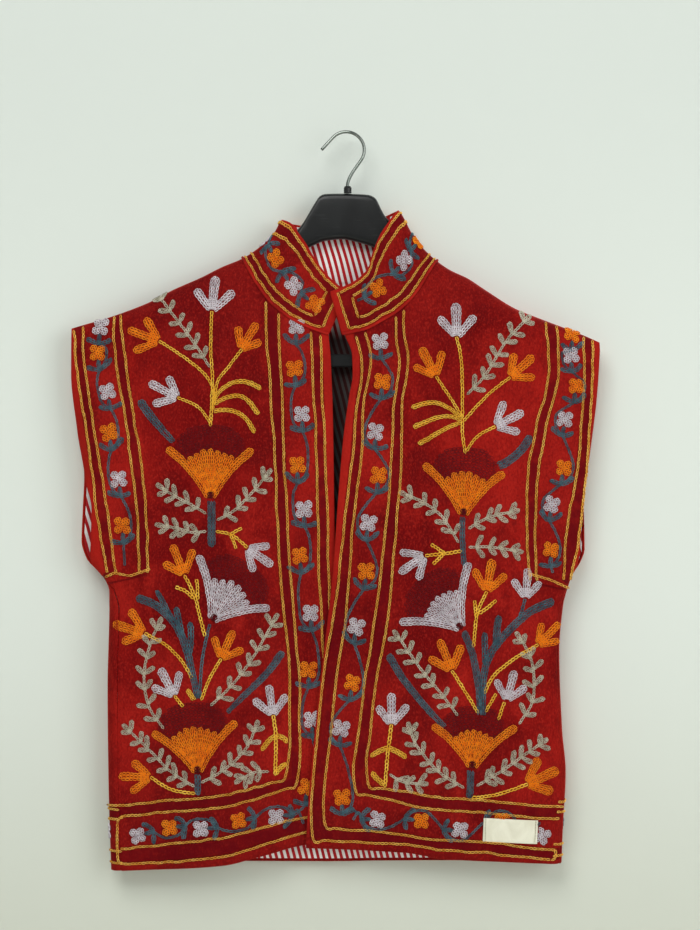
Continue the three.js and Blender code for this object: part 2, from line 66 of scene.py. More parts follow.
# The shoulder ridge and, nearer the neck, the collar's folded side
RIDGE_LEFT = {
    "out": (0, 40, 67.5, 77, 90, 110, 132, 154, 185, 212, 252, 294, 320),
    "up": (-66, -78, -93.5, -110, -122, -135.5, -144.7, -155.8, -169.5, -183.5, -198.5, -211, -220),
}
RIDGE_RIGHT = {
    "out": (0, 36, 59.3, 74, 85, 101, 115, 134, 153, 186, 216, 255, 276, 300),
    "up": (-58, -69, -83.3, -109, -123.5, -138.5, -148, -157, -169.5, -190, -202, -216.8, -226, -238),
}

# The side folds: how far out, how round, and how many degrees round from the back each edge lies
SIDE_LEFT = {
    "up": (-800, -700, -600, -512, -495, -484, -473, -460, -440, -405, -375, -320, -260, -200),
    "fold": (252, 255, 256, 254, 254, 258, 267, 279, 285, 284.5, 285, 291.5, 298, 298),
    "round": (16, 16, 16, 16, 16, 18, 22, 30, 36, 36, 36, 36, 36, 36),
    "back": (162, 162, 162, 162, 140, 112, 97, 84, 80, 74, 66, 60, 60, 60),
    "front": (165, 165, 165, 165, 143, 116, 101, 124, 140, 141, 125, 115, 115, 115),
}
SIDE_RIGHT = {
    "up": (-800, -750, -691, -644, -560, -512, -495, -478, -464, -450, -430, -400, -360, -283, -236),
    "fold": (235, 237, 240, 236, 233, 237, 241, 247, 256, 261, 261, 261, 266.5, 276.5, 279.7),
    "round": (14, 14, 14, 14, 14, 14, 16, 20, 28, 34, 34, 34, 34, 34, 34),
    "back": (129, 129, 129, 129, 129, 129, 114, 97, 86, 82, 80, 74, 66, 60, 60),
    "front": (133, 133, 133, 133, 133, 133, 118, 101, 118, 126, 128, 120, 115, 115, 115),
}

# The front edges, which cross so that the right front lies on the left one
FRONT_EDGE = {
    "up": (-800, -700, -590, -471, -395, -330, -285, -262, -240, -219, -172),
    "left": (8, 3, -3, -9.5, -11, -12, -13, -14, -15, -16.8, -10),
    "right": (-46, -39, -27.5, -14, -8.5, -3, 3.2, 7, 6.3, -1.5, -14.5),
}

# The hems, from left to right
HEM_LEFT = {"x": (-256, -202, -130, -94, -46, 10), "up": (-796.5, -794, -789.5, -781, -769, -762)}
HEM_RIGHT = {"x": (-48, 62, 110, 182, 238), "up": (-770.5, -775, -783, -786, -788.5)}
HEM_BACK = {
    "x": (-256, -200, -120, 0, 120, 200, 238),
    "up": (-796.5, -793, -789.5, -789, -788.5, -788.5, -788.5),
}

# The neck seam and the collar's top edge, from each front end out to the folded side
NECK_LEFT = (
    (16.8, -219), (35, -212.7), (52.5, -205), (66, -196),
    (80.5, -183.5), (95, -163.5), (103, -149), (110, -135.5),
)
NECK_RIGHT = (
    (-1.5, -219), (24.5, -213), (39.5, -205), (55.3, -196), (69.3, -184),
    (80.2, -171), (89.3, -156), (96, -145), (101, -138.5),
)
TOP_LEFT = (
    (-3, -172), (5.5, -166.3), (20, -153), (33.3, -134.6),
    (41, -121), (48.6, -110.5), (57, -99), (67.5, -93.5),
)
TOP_RIGHT = (
    (-14.5, -173), (9.4, -163), (25.4, -149), (31, -131),
    (39.4, -111.2), (47.3, -99.3), (53.4, -90.3), (59.3, -83.3),
)
NECK_BACK = (
    (-110, -135.5), (-105, -141), (-90, -148), (-60, -156), (0, -163),
    (60, -158), (88, -150), (98, -143.5), (101, -138.5),
)
TOP_BACK = (
    (-67.5, -93.5), (-60, -96.5), (-40, -100), (0, -106), (38, -92), (53, -85.5), (59.3, -83.3),
)

# Four lines of gold chain run along each edge, a to d from the edge in. Here is how far in they lie.
LINES = "abcd"
EDGE_LINES_LEFT = {
    "up": (-790, -700, -580, -460, -360, -270, -190),
    "a": (8, 8, 7, 7, 8, 10, 8),
    "b": (17, 17, 17, 17, 18, 19, 19),
    "c": (50, 50, 45, 49, 52, 53, 54),
    "d": (61, 61, 55, 60, 62, 66, 67),
}
EDGE_LINES_RIGHT = {
    "up": (-790, -712, -640, -595, -529, -455, -395, -345, -283, -222),
    "a": (6, 6, 6, 5, 7, 10, 12, 14, 12, 13),
    "b": (18, 18, 20, 19, 22, 20, 21, 23, 19, 24),
    "c": (48, 48, 49, 50, 53, 54, 57, 56, 51, 56),
    "d": (61, 61, 62, 62, 67, 66, 67, 66, 60, 64),
}
HEM_LINES_LEFT = {
    "x": (-244, -194, -125, -79, -45, 10),
    "a": (7, 7, 10, 12, 13, 13),
    "b": (23, 26, 30, 30, 29, 29),
    "c": (58, 61, 63, 64, 66, 66),
    "d": (70, 73, 76, 76, 76, 76),
}
HEM_LINES_RIGHT = {
    "x": (-40, 23, 77, 140, 204, 234),
    "a": (8, 8, 9, 9, 5, 4),
    "b": (23, 21, 19, 21, 16, 15),
    "c": (62, 60, 52, 52, 49, 49),
    "d": (72, 68, 66, 65, 62, 61),
}
HEM_LINES_BACK = {
    "x": (-300, -120, 0, 120, 300),
    "a": (9, 8, 8, 9, 8),
    "b": (21, 20, 20, 20, 21),
    "c": (56, 55, 56, 55, 56),
    "d": (67, 66, 65, 66, 67),
}
# Round the armholes the lines are given by how far out they lie
ARM_LINES_LEFT = {
    "up": (-478, -410, -355, -305, -250, -205),
    "a": (255, 265, 272, 280, 288, 292),
    "b": (245, 254, 262, 271, 279, 282),
    "c": (219, 222, 229, 235, 245, 248),
    "d": (210, 212, 218, 226, 234, 240),
}
ARM_LINES_RIGHT = {
    "up": (-486, -440, -372, -315, -257, -205),
    "a": (243, 252, 260, 264, 268, 268),
    "b": (236, 238, 249, 255, 259, 257),
    "c": (207, 205, 208, 218, 231, 229),
    "d": (200, 196, 197, 207, 220, 217),
}
# Above this level, under the collar, the lines run on as if the edge were straight
EDGE_TOP = -222
# In the material, the lines lie at these steps from the edge, whatever their real distances
BAND_STEPS = (0, 10, 20, 54, 63)
BAND_END = 80

# The label lies on the right front's hem band: its middle, its size, and its turn in degrees
LABEL_AT, LABEL_SIZE, LABEL_TURN, LABEL_THICK = (179, -752.5), (58, 25), -2.5, 0.8
# The stitches at its ends: how many, how far apart and how long
TAPE_STITCHES, TAPE_SPACING, TAPE_STITCH = 8, 3, 1.7

# Soft folds of the cloth: where each starts and ends in the XZ plane, how wide it is, and how high
FOLDS_FRONT = (
    ((-150, -760), (-120, -560), 34, 2.6),
    ((-205, -770), (-215, -520), 22, -1.8),
    ((-70, -750), (-92, -560), 22, 2.2),
    ((-262, -470), (-205, -520), 16, -2.4),
    ((-225, -455), (-175, -560), 18, 2.0),
    ((-280, -440), (-262, -300), 15, 2.0),
    ((-205, -190), (-120, -330), 26, 2.0),
    ((-95, -170), (-130, -300), 20, -1.2),
    ((60, -760), (75, -560), 26, 2.4),
    ((125, -770), (118, -600), 20, -1.8),
    ((190, -770), (170, -560), 28, 2.2),
    ((248, -470), (190, -530), 15, -2.2),
    ((215, -450), (150, -540), 20, 1.8),
    ((262, -430), (250, -300), 14, 1.8),
    ((190, -200), (110, -340), 24, 2.2),
    ((95, -165), (120, -290), 18, -1.2),
    ((20, -420), (30, -640), 20, 1.4),
    ((-30, -700), (-24, -480), 14, 1.2),
    ((-243, -745), (-243, -520), 6, -1.4),
    ((228, -745), (226, -560), 6, -1.2),
)
FOLDS_BACK = (
    ((-110, -770), (-90, -480), 36, 2.8),
    ((0, -780), (8, -430), 30, -2.2),
    ((105, -770), (95, -500), 34, 2.6),
    ((-190, -760), (-180, -560), 26, -2.0),
    ((185, -760), (175, -560), 26, -1.8),
    ((-200, -200), (-90, -360), 30, 2.2),
    ((190, -205), (90, -370), 30, 2.0),
    ((-255, -450), (-160, -560), 22, 2.2),
    ((240, -460), (160, -560), 20, 2.0),
    ((-60, -180), (60, -182), 18, 1.6),
)
# Slow waves of the cloth: a sway that grows towards the hem, and a ripple all over
SWAY, SWAY_WAVE, SWAY_FROM, SWAY_FULL = 0.9, 31, 380, 760
RIPPLE, RIPPLE_ACROSS, RIPPLE_DOWN, RIPPLE_SWELL = 0.5, 17, 61, 43
# How far a fold's line wanders aside, over what length, and how long its ends are in its widths
WANDER, WANDER_WAVE, FOLD_END = 5, 38, 1.5


def smoothstep(value, low, high):
    t = np.clip((value - low) / (high - low), 0, 1)
    return t * t * (3 - 2 * t)


def through(table, key, value):
    """A smooth curve through a table's columns that never overshoots them."""
    at = np.array(table[key], float)
    level = np.array(table[value], float)
    rise = np.diff(level) / np.diff(at)
    both = np.where(rise[:-1] * rise[1:] > 0, rise[:-1] + rise[1:], np.inf)
    slope = np.concatenate([rise[:1], 2 * rise[:-1] * rise[1:] / both, rise[-1:]])

    def curve(place):
        held = np.clip(place, at[0], at[-1])
        i = np.clip(np.searchsorted(at, held, side="right") - 1, 0, len(rise) - 1)
        span = at[i + 1] - at[i]
        t = (held - at[i]) / span
        straight = level[i] + (level[i + 1] - level[i]) * t * t * (3 - 2 * t)
        return straight + span * t * (1 - t) * (slope[i] * (1 - t) - slope[i + 1] * t)

    return curve


def spline(points, fine=14):
    """Dense points of a smooth curve through given ones."""
    p = np.array(points, float)
    if len(p) == 2:
        return p
    held = np.vstack([p[:1], p, p[-1:]])
    t = np.linspace(0, 1, fine, endpoint=False)[:, None]
    runs = []
    for a, b, c, d in zip(held, held[1:], held[2:], held[3:]):
        bend = (2 * a - 5 * b + 4 * c - d) * t**2 + (3 * b - a - 3 * c + d) * t**3
        runs.append(b + ((c - a) * t + bend) / 2)
    return np.vstack(runs + [p[-1:]])


def lengths_along(line):
    return np.concatenate([[0], np.cumsum(np.linalg.norm(np.diff(line, axis=0), axis=1))])


def at_lengths(line, lengths):
    along = lengths_along(line)
    return np.stack([np.interp(lengths, along, column) for column in line.T], -1)


def at_shares(points, shares):
    line = spline(points)
    return at_lengths(line, np.array(shares) * lengths_along(line)[-1])


depth_in_front = through(DEPTH, "up", "front")
depth_behind = through(DEPTH, "up", "back")
right_edge = through(FRONT_EDGE, "up", "right")


def make_side(sign, ridge, side, edge, arm_lines):
    return SimpleNamespace(
        sign=sign,
        ridge=through(ridge, "out", "up"),
        fold=through(side, "up", "fold"),
        round=through(side, "up", "round"),
        back_turn=through(side, "up", "back"),
        front_turn=through(side, "up", "front"),
        edge=through(FRONT_EDGE, "up", edge),
        arm_lines=arm_lines,
    )


LEFT = make_side(-1, RIDGE_LEFT, SIDE_LEFT, "left", ARM_LINES_LEFT)
RIGHT = make_side(1, RIDGE_RIGHT, SIDE_RIGHT, "right", ARM_LINES_RIGHT)


def flat_end(side, up):
    return side.fold(up) - side.round(up)


def face_depth(side, ahead, out, up):
    """How deep a face lies, front (-1) or back (1); the left front dips under the right one."""
    cap = 1 - CAP_THINNING * smoothstep(out, CAP_START, CAP_END)
    lap = side.sign * out - right_edge(up)
    drop = UNDERLAP_DROP * smoothstep(lap, UNDERLAP_START, UNDERLAP_END) if side is LEFT else 0
    return np.where(ahead > 0, depth_behind(up) * cap, depth_in_front(up) * cap - drop)


def relief(face, x, up):
    """How far the cloth stands out in its folds and its slow waves."""
    rise = SWAY * np.sin(x / SWAY_WAVE + 0.7 * face) * smoothstep(-up, SWAY_FROM, SWAY_FULL)
    rise = rise + RIPPLE * np.sin(x / RIPPLE_ACROSS + up / RIPPLE_DOWN) * np.sin(up / RIPPLE_SWELL + 1.3)
    for (x0, z0), (x1, z1), width, height in FOLDS_FRONT if face < 0 else FOLDS_BACK:
        run = math.hypot(x1 - x0, z1 - z0)
        ux, uz = (x1 - x0) / run, (z1 - z0) / run
        along = (x - x0) * ux + (up - z0) * uz
        aside = (up - z0) * ux - (x - x0) * uz + WANDER * np.sin(along / WANDER_WAVE)
        past = np.maximum(0, np.abs(along - run / 2) - run / 2)
        rise = rise + height * np.exp(-((aside / width) ** 2) - (past / (FOLD_END * width)) ** 2)
    return rise


def ridge_slope(side, out):
    return side.ridge(out + 0.5) - side.ridge(out - 0.5)


def point_below(side, face, out, up, turn, below):
    """A point a given depth below a face; turn is its angle round the side fold, in degrees."""
    angle = np.radians(turn)
    ahead = np.where(np.cos(angle) < 0, -face, face)
    slope = ridge_slope(side, out)
    lean = np.hypot(1, slope)
    near_ridge = np.clip(1 - (side.ridge(out) - up) / (lean * SHOULDER_ROUND), 0, 1)
    near_side = np.sin(angle)
    ridge_fall = 1 - near_ridge**2
    side_fall = 1 - near_side**2
    depth = face_depth(side, ahead, out, up)
    height = np.sqrt(ridge_fall * side_fall)
    upward = near_ridge * side_fall / (lean * SHOULDER_ROUND)
    outward = near_side * ridge_fall / side.round(up) - upward * slope
    size = np.sqrt(outward**2 + (height / depth) ** 2 + upward**2)
    below = below - relief(face, side.sign * out, up) * ridge_fall * side_fall
    dx, dy, dz = outward / size * below, height / depth / size * below, upward / size * below
    least = depth * height * TIGHT_SHARE * (TIGHT_REACH - below)
    away = np.maximum(depth * height - dy, least)
    parts = (side.sign * (out - dx), face * GAP / 2 + ahead * away, up - dz)
    return np.stack(np.broadcast_arrays(*parts), -1)


# ---------------------------------------------------------------- panels and their charts

# How many rows or columns each part of a panel's grid has
CAP_GRID, NECK_GRID, WRAP_GRID, BODY_GRID, CROWN_GRID = 38, 22, 12, 120, 14
# How far from its folded sides the collar sags
SAG_REACH = 28
# Roughly how far a panel's flat part and its rolled side reach, and the rounds that settle its top
FLAT_REACH, ROLL_REACH, SETTLING = 270, 50, 10
# How steeply a spot may lie on a side fold, as a sine, and how near the ridge
STEEPEST, RIDGE_MARGIN = 0.995, 0.2
# How fast a band's steps run out below the armhole
ARM_FADE = 6
# The collar's two gold lines and the end of the strip inside them, as distances from its edges
COLLAR_LINES = {"seam": (5, 14, 30), "top": (3.5, 13, 29), "ends": (8, 21, 37)}
COLLAR_STEPS = (*BAND_STEPS[:3], 36)
COLLAR_STATIONS, COLLAR_ROWS = 26, 14


def wrap_place(side, face, flat, wrap, up):
    """Out and turn of a panel's columns: flat is their share of the flat part, wrap of the fold."""
    inner = side.sign * side.edge(up) if face < 0 else 0
    degrees = 180 - side.front_turn(up) if face < 0 else side.back_turn(up)
    turn = wrap * degrees
    out = inner + (flat_end(side, up) - inner) * flat
    return out + side.round(up) * np.sin(np.radians(turn)), turn


def half_panel(side, face, neck, hem, hem_rise=0, edge_in=0):
    """Out, up and turn over the grid of a front, or of half the back, from the middle outwards."""
    ease = np.sin(np.linspace(0, 1, NECK_GRID) * math.pi / 2)
    seam = at_shares(neck, ease)
    seam[:, 0] = np.abs(seam[:, 0])
    inner = side.sign * side.edge(seam[:, 1]) if face < 0 else 0
    end = flat_end(side, seam[:, 1])
    neck_flat = np.clip((seam[:, 0] - inner) / (end - inner), 0, 1)
    neck_flat = neck_flat + edge_in / FLAT_REACH * (1 - neck_flat)
    cap_flat = np.linspace(neck_flat[-1], 1, CAP_GRID)[1:]
    wraps = np.linspace(0, 1, WRAP_GRID)[1:] * (1 - edge_in / ROLL_REACH)
    flat = np.concatenate([neck_flat, cap_flat, np.ones(len(wraps))])
    wrap = np.concatenate([np.zeros(len(flat) - len(wraps)), wraps])
    top = np.full(len(flat), side.ridge(CAP_START))
    for _ in range(SETTLING):
        top = side.ridge(wrap_place(side, face, flat, wrap, top)[0])
    top[:NECK_GRID] = seam[:, 1]
    out_top = wrap_place(side, face, flat, wrap, top)[0]
    foot = hem(side.sign * wrap_place(side, face, flat, wrap, HEM_LEVEL)[0]) + hem_rise
    slope = ridge_slope(side, out_top)
    rounding = SHOULDER_ROUND * np.hypot(1, slope)
    body = np.linspace(0, 1, BODY_GRID)
    crown = 1 - np.cos(np.linspace(math.pi / 2, 0, CROWN_GRID + 1)[1:])
    up = np.hstack([
        foot[:, None] + (top - rounding - foot)[:, None] * body,
        top[:, None] - rounding[:, None] * crown,
    ])
    out, turn = wrap_place(side, face, flat[:, None], wrap[:, None], up)
    return out, up, turn


def lines_at(lines, key, place):
    """Where the four lines lie at a place."""
    return [through(lines, key, name)(place) for name in LINES]


def stepped(distance, knots):
    """Which step of a band a distance falls on, where the knots lie at its steps."""
    step = BAND_STEPS[-1] + distance - knots[-1]
    for low, high, s0, s1 in zip(knots[-2::-1], knots[:0:-1], BAND_STEPS[-2::-1], BAND_STEPS[:0:-1]):
        share = (distance - low) / (high - low)
        step = np.where(distance < high, s0 + (s1 - s0) * share, step)
    return step


def band_step(distance, lines, key, place):
    """Which step of an edge's band a distance from that edge falls on."""
    knots = [np.zeros_like(distance), *lines_at(lines, key, place)]
    return np.clip(stepped(distance, knots), 0, BAND_END)


def arm_step(side, out, up):
    rim = flat_end(side, up) + side.round(up) * np.sin(np.radians(side.front_turn(up)))
    step = stepped(-out, [-knot for knot in (rim, *lines_at(side.arm_lines, "up", up))])
    below = np.maximum(0, side.arm_lines["up"][0] - up)
    return np.clip(step + ARM_FADE * below, 0, BAND_END)


def joined(halves):
    """Grids of one or two halves as one, from left to right, with the middle column once."""
    if len(halves) == 2:
        return np.concatenate([halves[0][:0:-1], halves[1]])
    return halves[0]


class Panel:
    """A front or the back: its cloth's grid, and the chart that sets embroidery on it."""

    def __init__(self, name, face, sides, hem, edge_lines, hem_lines):
        self.name, self.face, self.sides = name, face, sides
        self.hem = through(hem, "x", "up")
        self.edge_lines, self.hem_lines = edge_lines, hem_lines

    def grid(self, neck, hem_rise=0, edge_in=0):
        halves = []
        for side in self.sides:
            seam = [p for p in neck if side.sign * p[0] >= 0] if self.face > 0 else neck
            seam = seam[::-1] if self.face > 0 and side is LEFT else seam
            halves.append(half_panel(side, self.face, seam, self.hem, hem_rise, edge_in))
        return halves

    def cloth(self, halves, below):
        """The points of the cloth a depth below its face, as columns from left to right."""
        return joined([
            point_below(side, self.face, *half, below) for side, half in zip(self.sides, halves)
        ])

    def bands(self, halves):
        """The band step at each point of the grid."""
        found = []
        for side, (out, up, turn) in zip(self.sides, halves):
            x = side.sign * out
            step = band_step(up - self.hem(x), self.hem_lines, "x", x)
            if self.edge_lines:
                inside = side.sign * (x - side.edge(np.minimum(up, EDGE_TOP)))
                step = np.minimum(step, band_step(inside, self.edge_lines, "up", up))
            found.append(np.minimum(step, arm_step(side, out, up)))
        return joined(found)

    def place(self, spots, lift):
        """Where spots of the panel's XZ plane lie on its face, lifted off it."""
        x, up = spots[..., 0], spots[..., 1]
        points = np.zeros(x.shape + (3,))
        for side in self.sides:
            mine = side.sign * x >= 0 if len(self.sides) == 2 else np.ones(x.shape, bool)
            out, z = side.sign * x[mine], up[mine]
            past = np.maximum(0, out - flat_end(side, z)) / side.round(z)
            if self.face < 0:
                turn = np.degrees(np.arcsin(np.clip(past, 0, STEEPEST)))
            else:
                turn = np.degrees(past)
                out = np.minimum(out, flat_end(side, z)) + side.round(z) * np.sin(past)
            low = np.minimum(z, side.ridge(out) - RIDGE_MARGIN)
            points[mine] = point_below(side, self.face, out, low, turn, -lift[mine])
        return points


class Collar:
    """The collar as a ring of stations, from its left front end round the back to its right one.

    Its chart is flat: how far along from the left end, and how far above the neck seam.
    """

    name = "collar"

    def __init__(self):
        ease = np.sin(np.linspace(0, 1, COLLAR_STATIONS) * math.pi / 2)
        across = np.concatenate([(1 - ease[::-1]) / 2, (1 + ease[1:]) / 2])
        left = [at_shares(rows, ease) * (-1, 1) for rows in (NECK_LEFT, TOP_LEFT)]
        back = [at_shares(rows, across)[1:-1] for rows in (NECK_BACK, TOP_BACK)]
        right = [at_shares(rows, ease)[::-1] for rows in (NECK_RIGHT, TOP_RIGHT)]
        self.seam, self.top = [np.vstack(runs) for runs in zip(left, back, right)]
        count = (len(left[0]), len(back[0]), len(right[0]))
        self.run = np.repeat((0, 1, 2), count)
        middle = self.points(self.spots(self.seam, self.top, 0.5 + 0 * self.run), self.run, 0)
        self.along = lengths_along(middle)
        self.tall = np.linalg.norm(self.top - self.seam, axis=1)
        self.length = self.along[-1]

    def points(self, spots, run, below):
        """Points of the collar under given spots; run says which stretch each lies on."""
        x, up = spots[..., 0], spots[..., 1]
        run = np.broadcast_to(run, x.shape)
        below = np.broadcast_to(below, x.shape)
        points = np.zeros(x.shape + (3,))
        on_left = (run == 0) | ((run == 1) & (x < 0))
        for side, mine in ((LEFT, on_left), (RIGHT, ~on_left)):
            for face in (-1, 1):
                these = mine & ((run == 1) == (face > 0))
                spot_x, spot_up = side.sign * x[these], up[these]
                points[these] = point_below(side, face, spot_x, spot_up, 0.0, below[these])
        return points

    def spots(self, seam, top, share):
        """Spots between the seam and the top; they sag beside the folded sides, as the ridge does."""
        share = np.asarray(share)[..., None]
        spots = seam * (1 - share) + top * share
        for side, neck, edge in ((LEFT, NECK_LEFT, TOP_LEFT), (RIGHT, NECK_RIGHT, TOP_RIGHT)):
            fold = np.array(neck[-1]) * (1 - share) + np.array(edge[-1]) * share
            sag = np.maximum(0, fold[..., 1] - side.ridge(fold[..., 0]))
            away = np.linalg.norm(spots - fold * (side.sign, 1), axis=-1) / SAG_REACH
            spots[..., 1] -= sag * np.exp(-(away**2))
        return spots

    def cloth(self, below, low=0.008, high=1, inset=0):
        keep = slice(inset, len(self.seam) - inset)
        share = np.linspace(low, high, COLLAR_ROWS)[None, :]
        spots = self.spots(self.seam[keep, None], self.top[keep, None], share)
        return self.points(spots, self.run[keep, None], below)

    def bands(self):
        above = np.linspace(0, 1, COLLAR_ROWS)[None, :] * self.tall[:, None]
        ends = np.minimum(self.along, self.length - self.along)[:, None]
        from_seam, from_top, from_ends = [
            np.interp(away, (0, *COLLAR_LINES[edge]), COLLAR_STEPS)
            for edge, away in (("seam", above), ("top", self.tall[:, None] - above), ("ends", ends))
        ]
        return np.minimum(np.minimum(from_seam, from_top), from_ends)

    def place(self, spots, lift):
        along, above = spots[..., 0], spots[..., 1]
        station = np.interp(along, self.along, np.arange(len(self.along)))
        share = above / np.interp(along, self.along, self.tall)
        low = np.clip(np.floor(station).astype(int), 0, len(self.along) - 2)
        part = (station - low)[..., None]
        seam = self.seam[low] * (1 - part) + self.seam[low + 1] * part
        top = self.top[low] * (1 - part) + self.top[low + 1] * part
        spot = self.spots(seam, top, share)
        run = np.where(part[..., 0] < 0.5, self.run[low], self.run[low + 1])
        return self.points(spot, run, -lift)


FRONT_LEFT = Panel("front_left", -1, (LEFT,), HEM_LEFT, EDGE_LINES_LEFT, HEM_LINES_LEFT)
FRONT_RIGHT = Panel("front_right", -1, (RIGHT,), HEM_RIGHT, EDGE_LINES_RIGHT, HEM_LINES_RIGHT)
BACK = Panel("back", 1, (LEFT, RIGHT), HEM_BACK, None, HEM_LINES_BACK)
COLLAR = Collar()


# ---------------------------------------------------------------- meshes


def add(name, data):
    """A new object in the scene."""
    piece = bpy.data.objects.new(name, data)
    bpy.context.scene.collection.objects.link(piece)
    return piece


def coat(piece, material):
    """Gives a piece one material in place of those that it has."""
    piece.data.materials.clear()
    piece.data.materials.append(material)


def new_piece(name, points, faces, material, **attributes):
    """A smooth mesh piece from points in millimetres, with values for its material at each point."""
    mesh = bpy.data.meshes.new(name)
    mesh.from_pydata((np.asarray(points) * MM).tolist(), [], faces.tolist())
    for key, values in attributes.items():
        layer = mesh.attributes.new(key, "FLOAT", "POINT")
        layer.data.foreach_set("value", np.ravel(values).astype(np.float32))
    mesh.shade_smooth()
    mesh.materials.append(material)
    piece = add(name, mesh)
    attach(piece, "root")
    return piece


def outward(points, faces):
    """The faces, turned round where they enclose their space inside out."""
    corners = points[faces]
    volume = np.einsum("ij,ij->", corners[:, 0], np.cross(corners[:, 1], corners[:, 2]))
    volume += np.einsum("ij,ij->", corners[:, 0], np.cross(corners[:, 2], corners[:, 3]))
    return faces if volume > 0 else faces[:, ::-1]


def cloth_piece(name, outer, inner, material, bead=0.7, **attributes):
    """A closed sheet between two grids of points, with a rounded rim all round."""
    columns, rows = outer.shape[:2]
    ids = np.arange(columns * rows).reshape(columns, rows)
    quads = np.stack([ids[:-1, :-1], ids[1:, :-1], ids[1:, 1:], ids[:-1, 1:]], -1).reshape(-1, 4)
    rim = np.concatenate([ids[:-1, 0], ids[-1, :-1], ids[:0:-1, -1], ids[0, :0:-1]])
    inward = np.concatenate([ids[:-1, 1], ids[-2, :-1], ids[:0:-1, -2], ids[1, :0:-1]])
    skin, back = outer.reshape(-1, 3), inner.reshape(-1, 3)
    away = skin[rim] - skin[inward]
    away /= np.linalg.norm(away, axis=1)[:, None] + 1e-9
    middle = (skin[rim] + back[rim]) / 2 + away * bead
    count = columns * rows
    edge = 2 * count + np.arange(len(rim))
    after = np.roll(np.arange(len(rim)), -1)
    faces = np.concatenate([
        quads,
        quads[:, ::-1] + count,
        np.stack([rim[after], rim, edge, edge[after]], -1),
        np.stack([edge[after], edge, rim + count, rim[after] + count], -1),
    ])
    points = np.concatenate([skin, back, middle])
    values = {
        key: np.concatenate([np.ravel(grid), np.ravel(grid), np.ravel(grid)[rim]])
        for key, grid in attributes.items()
    }
    return new_piece(name, points, outward(points, faces), material, **values)


def only(piece):
    """Makes a piece the one that operators act on."""
    bpy.ops.object.select_all(action="DESELECT")
    piece.select_set(True)
    bpy.context.view_layer.objects.active = piece


def reshape(piece, *jobs):
    """Runs operators, each with its settings, on the whole of a piece's mesh."""
    only(piece)
    bpy.ops.object.mode_set(mode="EDIT")
    bpy.ops.mesh.select_all(action="SELECT")
    for job, settings in jobs:
        job(**settings)
    bpy.ops.object.mode_set(mode="OBJECT")


def round_bead(name, line, radius, material, resolution):
    """Piping, wire or cord of one thickness along a line of points, with closed ends."""
    curve = bpy.data.curves.new(name, "CURVE")
    curve.dimensions = "3D"
    curve.bevel_depth = radius * MM
    curve.bevel_resolution = resolution
    curve.use_fill_caps = True
    run = curve.splines.new("POLY")
    run.points.add(len(line) - 1)
    for point, spot in zip(run.points, line * MM):
        point.co = (*spot, 1)
    piece = add(name, curve)
    only(piece)
    bpy.ops.object.convert(target="MESH")
    reshape(
        piece, (bpy.ops.mesh.remove_doubles, {"threshold": 1e-6}),
        (bpy.ops.mesh.normals_make_consistent, {"inside": False}),
    )
    piece.data.shade_smooth()
    coat(piece, material)
    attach(piece, "root")
    return piece


# ---------------------------------------------------------------- chain stitch

PITCH, CHAIN = 4.2, 3.3
# One link as a flat loop of yarn: how far along the stitch, how far aside, and how high it stands
LOOP = ((-0.08, 0.0, 0.7), (0.42, 0.62, 1.15), (1.06, 0.44, 1.4), (1.06, -0.44, 1.4), (0.42, -0.62, 1.15))
# A strand's half width, from the width of its link
STRAND, STRAND_LEAST = 0.155, 0.07
# How uneven the links are: their place, the width of each as a share, and their lift
LINK_SHIFT, LINK_WIDTHS, LINK_LIFT = 0.22, (0.88, 1.08), 0.14
# A stroke narrower than THIN is one row; a wider one has rows side by side
THIN, THIN_SHARE, THIN_PITCH = 5.5, 0.94, 3.6
ROW_SPACING, ROW_OVERLAP, HALF_LEAST = 3.1, 1.1, 0.9
# Where a stroke's row turns round its tip, in radians from one side to the other
TIP_TURNS = (0.75, 1.57, 2.4)
# The rows across a tulip's cup: how far up each lies and how far it reaches, as shares of its size
TULIP_CUP = ((0.1, 0.13), (0.2, 0.2), (0.3, 0.23))
TULIP_SPREAD = 42
# The rows of a fan's cap, how far apart they lie, and how fast they narrow
CAP_ROWS, CAP_SPACING, CAP_POWER = 11, 3.0, 3.2
# A fan's rays start nearer and farther from its apex by turns, and the rows in them farther still
RAY_STARTS, ROW_START = (7, 15), 24
LEAF_WIDTH, LEAF_YARN, LEAF_PITCH = 6.0, 2.9, 3.1
chance = np.random.default_rng(7)


def turned(heading):
    """The direction of a heading in degrees, and the one to its left."""
    a = math.radians(heading)
    return np.array((math.cos(a), math.sin(a))), np.array((-math.sin(a), math.cos(a)))


def heading_of(way):
    return math.degrees(math.atan2(way[1], way[0]))


def leftward(ways):
    """The directions to the left of given ones."""
    return np.stack([-ways[:, 1], ways[:, 0]], -1)


